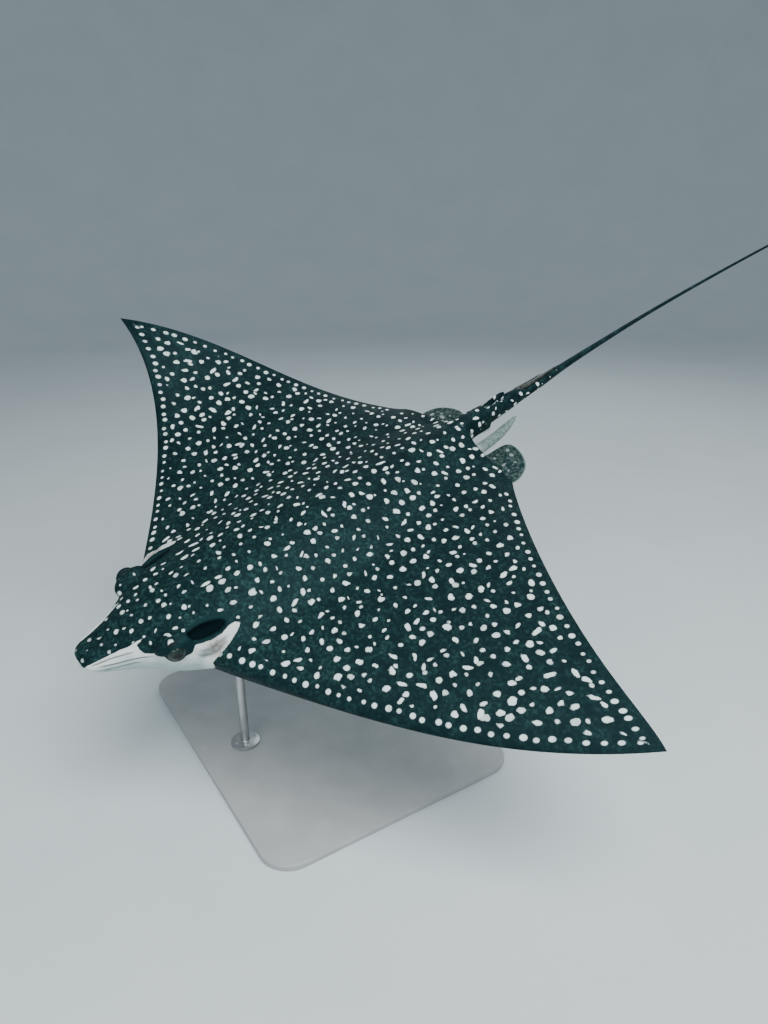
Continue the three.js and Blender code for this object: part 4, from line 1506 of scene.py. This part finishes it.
def eye_material():
    material, tree, shader = new_material("wet eye")
    dial_x, dial_y, _ = split(tree, attribute(tree, "dial"))
    from_pupil = from_middle(tree, dial_x, times(tree, dial_y, PUPIL_FLATNESS))
    from_axis = from_middle(tree, dial_x, dial_y)
    angle = compute(tree, "ARCTAN2", dial_y, dial_x)
    spokes = place_node(tree, "ShaderNodeCombineXYZ", {0: compute(tree, "SINE", angle),
                                                       1: compute(tree, "COSINE", angle),
                                                       2: times(tree, from_axis, 0.35)})
    streaks = between(tree, noise(tree, spokes.outputs[0], 11.0, 4, 0.7), 0.35, 0.7)
    colour = blend_colours(tree, streaks, IRIS_DARK, IRIS_OLIVE)
    for there, shade in ((between(tree, from_pupil, 0.50, 0.43), IRIS_RING),
                         (between(tree, from_pupil, 0.455, 0.42), PUPIL_BLACK),
                         (between(tree, from_axis, 0.60, 0.74), EYE_RIM)):
        colour = blend_colours(tree, there, colour, shade)
    fill(tree, shader, {"Base Color": colour, "Roughness": line(tree, streaks, 0.1, 0.28),
                        "Specular IOR Level": 0.25, "Coat Weight": 0.25, "Coat Roughness": 0.03,
                        "Normal": bump(tree, streaks, 0.15, 0.0003)})
    return material


wet_eye = eye_material()
for eye in eyes.values():
    eye.data.materials.append(wet_eye)
print("eye material:", len(wet_eye.node_tree.nodes), "nodes")

# %% Spine material, blades and barbs


def spine_material():
    material, tree, shader = new_material("spine dentine")
    worn = use_grain(tree, 0.0007, 0.012)
    colour = blend_colours(tree, worn["Blotch"], (0.012, 0.017, 0.017), (0.050, 0.052, 0.046))
    fill(tree, shader, {"Base Color": colour, "Roughness": line(tree, worn["Height"], 0.3, 0.5),
                        "Specular IOR Level": 0.25,
                        "Normal": bump(tree, worn["Height"], 0.4, 0.0002)})
    return material


def add_mesh(main, other):
    """One mesh from two."""
    both = bmesh.new()
    both.from_mesh(main)
    both.from_mesh(other)
    both.to_mesh(main)
    both.free()


dentine = spine_material()
sting_spines = {}
for name, spine in SPINES.items():
    grid, left_edge, right_edge = spine_rings(spine)
    blade_mesh, _ = shell(hang(grid), "spine")
    rails = to_scene("rails", barb_rails((left_edge, right_edge)))
    use_nodes(rails, barbs, {"Spacing": 0.0023, "Length": 0.0026, "Finish": dentine})
    add_mesh(blade_mesh, rails.data)
    print("spine", name, "has barbs with", len(rails.data.polygons), "faces")
    bpy.data.objects.remove(rails)
    smooth(blade_mesh)
    sting_spines[name] = to_scene("spine_" + name, blade_mesh, dentine)

# %% [markdown]
# ## The stand
#
# The ray is shown swimming, so two short steel rods carry it above a flat painted base.
# Each rod has a flange with four screws at its foot, and a cup with a rubber pad at its
# top. The cup's upper face is laid against the belly by casting rays up to the skin, so the
# pad follows it closely from every side.

# %% Base plate
BASE = {"width": 0.700, "length": 0.540, "height": 0.012, "corner": 0.060, "bevel": 0.002}


def base_grid():
    quarter = np.radians(np.linspace(0, 90, 20))
    loop = []
    for turn, (sx, sy) in enumerate(((1, 1), (-1, 1), (-1, -1), (1, -1))):
        angle = quarter + math.pi / 2 * turn
        centre = (sx * (BASE["width"] / 2 - BASE["corner"]), sy * (BASE["length"] / 2 - BASE["corner"]))
        loop.append(np.stack([centre[0] + BASE["corner"] * np.cos(angle),
                              centre[1] + BASE["corner"] * np.sin(angle),
                              np.cos(angle), np.sin(angle)], 1))
    loop = np.concatenate(loop)
    arc = np.radians(np.linspace(0, 90, 6))
    inset = BASE["bevel"] * (1 - np.sin(arc))
    low = BASE["bevel"] * (1 - np.cos(arc))
    rings = [(0.05, 0.0)] + list(zip(inset, low))
    rings += [(i, BASE["height"] - z) for i, z in rings[::-1]]
    return np.array([[(x - i * nx, y - i * ny, z) for x, y, nx, ny in loop] for i, z in rings])


base_mesh, _ = shell(base_grid(), "base")
print("base plate:", len(base_mesh.polygons), "faces")

# %% Rods, flanges, cups and pads
GAP = 0.0003
RODS = {"front": {"aft": 300, "buried": 0.096}, "rear": {"aft": 610, "buried": 0.080}}
ROD_RADIUS = 0.009
FLANGE = {"radius": 0.030, "thickness": 0.006}
SADDLE = {"radius": 0.021, "length": 0.034}
PAD = 0.0016                            # thickness of the rubber
FILLET = 0.004                          # between the flange and the rod
COLLAR = 0.0015                         # a low step under the cup
ROUNDING = 0.0012                       # of the flange's rim
belly = BVHTree.FromObject(skin, bpy.context.evaluated_depsgraph_get())


def lathe(profile, place, count=64):
    """Rings round an upright axis, from (radius, height) steps."""
    turn = 2 * math.pi * np.arange(count) / count
    radius, high = np.array(profile).T
    return np.stack([place[0] + radius[:, None] * np.cos(turn),
                     place[1] + radius[:, None] * np.sin(turn),
                     np.repeat(place[2] + high[:, None], count, 1)], -1)


def belly_above(x, y):
    hit = belly.ray_cast(Vector((x, y, BASE["height"] + 0.02)), Vector((0, 0, 1)))[0]
    return hit.z


def rest_on_belly(rings, clearance):
    """Lifts or lowers each point of these rings to just under the belly."""
    for ring in rings:
        for point in ring:
            point[2] = belly_above(point[0], point[1]) - clearance


print("the belly hangs", round(belly_above(*hang((0, RODS["front"]["aft"], 0))[:2]), 3),
      "m up over the front rod")

# %% Make the rods and pads


def rod_profile(cup):
    """Radius and height, from the foot to the rim of the cup that starts at this height."""
    r, s, wide, thick = ROD_RADIUS, SADDLE["radius"], FLANGE["radius"], FLANGE["thickness"]
    profile = [(FILLET, 0), (wide - ROUNDING, 0), (wide, ROUNDING), (wide, thick - ROUNDING),
               (wide - 0.3 * ROUNDING, thick - 0.3 * ROUNDING), (wide - ROUNDING, thick)]
    profile += [(r + FILLET * (1 - math.sin(a)), thick + FILLET * (1 - math.cos(a)))
                for a in np.radians(np.linspace(0, 90, 8))]
    profile += [(r, cup - 0.004), (r + COLLAR, cup - 0.003), (r + COLLAR, cup)]
    profile += [(r + COLLAR + (s - r - COLLAR) * math.sin(a), cup + (s - r) * (1 - math.cos(a)))
                for a in np.radians(np.linspace(12, 90, 12))]
    return profile


def rod_parts(rod):
    """A rod with its flange and cup, its pad, and the middle of the flange's top."""
    middle = hang((0, rod["aft"], 0))
    foot = BASE["height"] + GAP
    cup = middle[2] - foot - rod["buried"] - SADDLE["length"]
    s = SADDLE["radius"]
    place = (middle[0], middle[1], foot)
    body = lathe(rod_profile(cup), place)
    top = lathe([(s, 0), (s - 0.0008, 0), (s * 0.6, 0), (s * 0.25, 0)], place)
    rest_on_belly(top, PAD + 0.0004)
    steel, _ = shell(np.concatenate([body, top]), "rod")
    pad = lathe([(s * share, 0) for share in (0.25, 0.6, 0.9, 0.985, 0.985, 0.9, 0.6, 0.25)], place)
    rest_on_belly(pad[:4], PAD + 0.0002)
    rest_on_belly(pad[4:], 0.0001)
    rubber, _ = shell(pad, "pad")
    return steel, rubber, (middle[0], middle[1], foot + FLANGE["thickness"])


rod_meshes = {name: rod_parts(rod) for name, rod in RODS.items()}
print("rods reach", {n: round(max(v.co.z for v in m[0].vertices), 3) for n, m in rod_meshes.items()})

# %% Screws in rings round the flanges
SCREW_RING = 0.0205
SCREW_COUNT = 4
SCREW_HEAD = 0.0034                     # radius
SCREW_HEIGHT = 0.0021
SOCKET_RADIUS = 0.0013
SOCKET_FLOOR = 0.0006
SCREW_SIDES = 24


def screw_mesh():
    """A button-head screw with a six-sided socket, standing on z = 0."""
    profile = [(SCREW_HEAD * math.sin(a), SCREW_HEIGHT * math.cos(a))
               for a in np.radians(np.linspace(90, 32, 7))]
    dome = lathe(profile, (0, 0, 0), SCREW_SIDES)
    turn = 2 * math.pi * np.arange(SCREW_SIDES) / SCREW_SIDES
    flat = SOCKET_RADIUS * math.cos(math.pi / 6) / np.cos((turn % (math.pi / 3)) - math.pi / 6)
    socket = [np.stack([flat * np.cos(turn), flat * np.sin(turn), 0 * turn + z], -1)
              for z in (profile[-1][1], SOCKET_FLOOR)]
    mesh, _ = shell(np.concatenate([dome, np.stack(socket)]), "screw")
    return mesh


def screw_tree():
    tree, given, made = new_group(
        "screws round a flange", "GeometryNodeTree",
        [("Centres", "Geometry", None), ("Screw", "Object", None), ("Ring", "Float", 0.02),
         ("Count", "Int", 4), ("Finish", "Material", None)], [("Screws", "Geometry")])
    ring = place_node(tree, "GeometryNodeMeshCircle", {"Vertices": given["Count"], "Radius": given["Ring"]})
    screw = place_node(tree, "GeometryNodeObjectInfo", {"Object": given["Screw"]})
    turned = place_node(tree, "FunctionNodeRandomValue", {0: (0, 0, 0), 1: (0, 0, 6.28), "Seed": 3},
                        data_type="FLOAT_VECTOR")
    one_ring = place_node(tree, "GeometryNodeInstanceOnPoints",
                          {"Points": ring.outputs["Mesh"], "Instance": screw.outputs["Geometry"],
                           "Rotation": turned.outputs[0]})
    rings = place_node(tree, "GeometryNodeInstanceOnPoints",
                       {"Points": given["Centres"], "Instance": one_ring.outputs["Instances"]})
    fill(tree, made, {"Screws": make_real(tree, rings.outputs["Instances"], given["Finish"])})
    return tree


screws = screw_tree()
print("screws:", SCREW_COUNT * len(RODS))


# %% Stand materials


def paint_material():
    material, tree, shader = new_material("powder coat")
    orange_peel = use_grain(tree, 0.0011, 0.06)
    colour = blend_colours(tree, orange_peel["Blotch"], (0.36, 0.375, 0.385), (0.40, 0.415, 0.425))
    fill(tree, shader, {"Base Color": colour,
                        "Roughness": line(tree, orange_peel["Height"], 0.2, 0.38),
                        "Normal": bump(tree, orange_peel["Height"], 0.35, 0.00012)})
    return material


def steel_material():
    """The brush lines run round the rod, so the noise is squeezed along it."""
    material, tree, shader = new_material("brushed steel")
    squeezed = place_node(tree, "ShaderNodeMapping", {"Vector": object_coordinates(tree),
                                                      "Scale": (260, 260, 3200)})
    brushed = noise(tree, squeezed.outputs[0], 1.0, 3, 0.6)
    smudge = use_grain(tree, 0.004, 0.02)
    colour = blend_colours(tree, smudge["Blotch"], (0.56, 0.565, 0.57), (0.47, 0.475, 0.485))
    fill(tree, shader, {"Base Color": colour, "Metallic": 1.0,
                        "Roughness": line(tree, brushed, 0.22, 0.2),
                        "Normal": bump(tree, brushed, 0.25, 0.0001)})
    return material


def rubber_material():
    material, tree, shader = new_material("rubber pad")
    matt = use_grain(tree, 0.0006, 0.01)
    colour = blend_colours(tree, matt["Blotch"], (0.012, 0.012, 0.013), (0.022, 0.022, 0.022))
    fill(tree, shader, {"Base Color": colour, "Roughness": 0.75,
                        "Normal": bump(tree, matt["Height"], 0.4, 0.0001)})
    return material


paint, steel, rubber = paint_material(), steel_material(), rubber_material()
print("stand finishes:", ", ".join(finish.name for finish in (paint, steel, rubber)))

# %% Put the stand together
base = to_scene("base_plate", base_mesh, paint)
screw_object = to_scene("screw", screw_mesh(), steel)
rods = {}
for name, (rod_mesh, pad_mesh, flange_top) in rod_meshes.items():
    centres = bpy.data.meshes.new("centres")
    centres.from_pydata([flange_top], [], [])
    heads = to_scene("heads", centres)
    use_nodes(heads, screws, {"Screw": screw_object, "Ring": SCREW_RING, "Count": SCREW_COUNT,
                               "Finish": steel})
    add_mesh(rod_mesh, heads.data)
    steel_faces = len(rod_mesh.polygons)
    add_mesh(rod_mesh, pad_mesh)
    rods[name] = to_scene("rod_" + name, rod_mesh, steel)
    rod_mesh.materials.append(rubber)
    for face in rod_mesh.polygons:
        face.material_index = int(face.index >= steel_faces)
    bpy.data.objects.remove(heads)
    print("rod", name, "with screws and pad:", len(rod_mesh.polygons), "faces")
bpy.data.objects.remove(screw_object)


# %% Smooth the stand, but keep its edges
SHARP_ANGLE = 32
for piece in [base, *rods.values()]:
    smooth(piece.data)
    piece.data.set_sharp_from_angle(angle=math.radians(SHARP_ANGLE))
print("edges stay sharp above", SHARP_ANGLE, "degrees")

# %% [markdown]
# ## Riding on the frame
#
# The ray is a still figure, so every piece rides on the one root body. Each finished piece
# takes the place of the frame's solids that it stands for.

# %% Replace the solids
FLESH = ("head", "trunk", "wing_left", "wing_right", "pelvic_fin_left", "pelvic_fin_right",
         "clasper_left", "clasper_right", "dorsal_fin", "tail_root", "tail_middle", "tail_whip",
         "tail_tip")
pieces = [(skin, FLESH, "skin"), (base, ("stand_base",), "stand_paint")]
pieces += [(eyes[side], ("eye_" + side,), "eye") for side in ("left", "right")]
pieces += [(sting_spines[name], ("sting_spine_" + name,), "spine") for name in SPINES]
pieces += [(rods[name], ("stand_rod_" + name,), "rod_steel") for name in RODS]
for piece, nodes, slot in pieces:
    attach(piece, "root")
    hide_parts(*nodes)
print("pieces:", len(pieces))

# %% [markdown]
# ## Floor and light
#
# The floor is a wide pale disc whose rim curves up into a backdrop all round, so there is
# no corner between the two. A flat floor would show a hard horizon. Only from low down does
# the backdrop's upper rim show, far behind. One big soft light hangs overhead, a second
# fills from the front, and a cool one behind parts the dark wings from the background.

# %% Floor
FLOOR_FLAT, FLOOR_CURVE = 6.5, 4.5      # radius of the flat part, and of the rise round it
FLOOR_MIDDLE = 0.5


def floor_grid():
    turn = 2 * math.pi * np.arange(96) / 96
    profile = [(r, 0) for r in (0.5, 2, 4, FLOOR_FLAT)]
    profile += [(FLOOR_FLAT + FLOOR_CURVE * math.sin(a), FLOOR_CURVE * (1 - math.cos(a)))
                for a in np.radians(np.linspace(6, 90, 15))]
    return np.stack([np.stack([r * np.cos(turn), r * np.sin(turn) + FLOOR_MIDDLE, 0 * turn + z], -1)
                     for r, z in profile])


def open_sheet(grid, name):
    """A sheet of rings, closed by a fan in the middle, that faces inwards."""
    rings, count, _ = grid.shape
    points = np.concatenate([grid.reshape(-1, 3), [grid[0].mean(0)]])
    faces = [[r * count + c, r * count + (c + 1) % count, (r + 1) * count + (c + 1) % count,
              (r + 1) * count + c] for r in range(rings - 1) for c in range(count)]
    faces += [[(c + 1) % count, c, rings * count] for c in range(count)]
    mesh = bpy.data.meshes.new(name)
    mesh.from_pydata(points.tolist(), [], [face[::-1] for face in faces])
    smooth(mesh)
    return mesh


def floor_material():
    material, tree, shader = new_material("pale floor")
    soft = use_grain(tree, 0.01, 0.6)
    colour = blend_colours(tree, soft["Blotch"], (0.63, 0.70, 0.73), (0.60, 0.675, 0.705))
    fill(tree, shader, {"Base Color": colour, "Roughness": 0.85})
    return material


floor = to_scene("floor", open_sheet(floor_grid(), "floor"), floor_material())
print("floor:", 2 * (FLOOR_FLAT + FLOOR_CURVE), "m across")

# %% Lights


def soft_light(name, place, aim, size, watts, colour=(1, 1, 1)):
    data = bpy.data.lights.new(name, "AREA")
    data.shape, data.size, data.energy, data.color = "DISK", size, watts, colour
    light = bpy.data.objects.new(name, data)
    light.location = place
    light.rotation_euler = (Vector(aim) - Vector(place)).to_track_quat("-Z", "Y").to_euler()
    bpy.context.scene.collection.objects.link(light)
    return light


soft_light("overhead", (1.9, -0.1, 3.4), (0, 0.2, 0.5), 3.0, 175, (1.0, 0.99, 0.96))
soft_light("front", (2.2, -2.4, 2.0), (0, 0, 0.5), 2.0, 36, (0.93, 0.98, 1.0))
soft_light("behind", (-2.2, 2.8, 3.0), (0, 0.5, 0.5), 3.0, 30, (0.86, 0.95, 1.0))
world = bpy.data.worlds.new("studio")
world.use_nodes = True
world.node_tree.nodes["Background"].inputs["Color"].default_value = (0.72, 0.83, 0.90, 1)
world.node_tree.nodes["Background"].inputs["Strength"].default_value = 0.38
bpy.context.scene.world = world
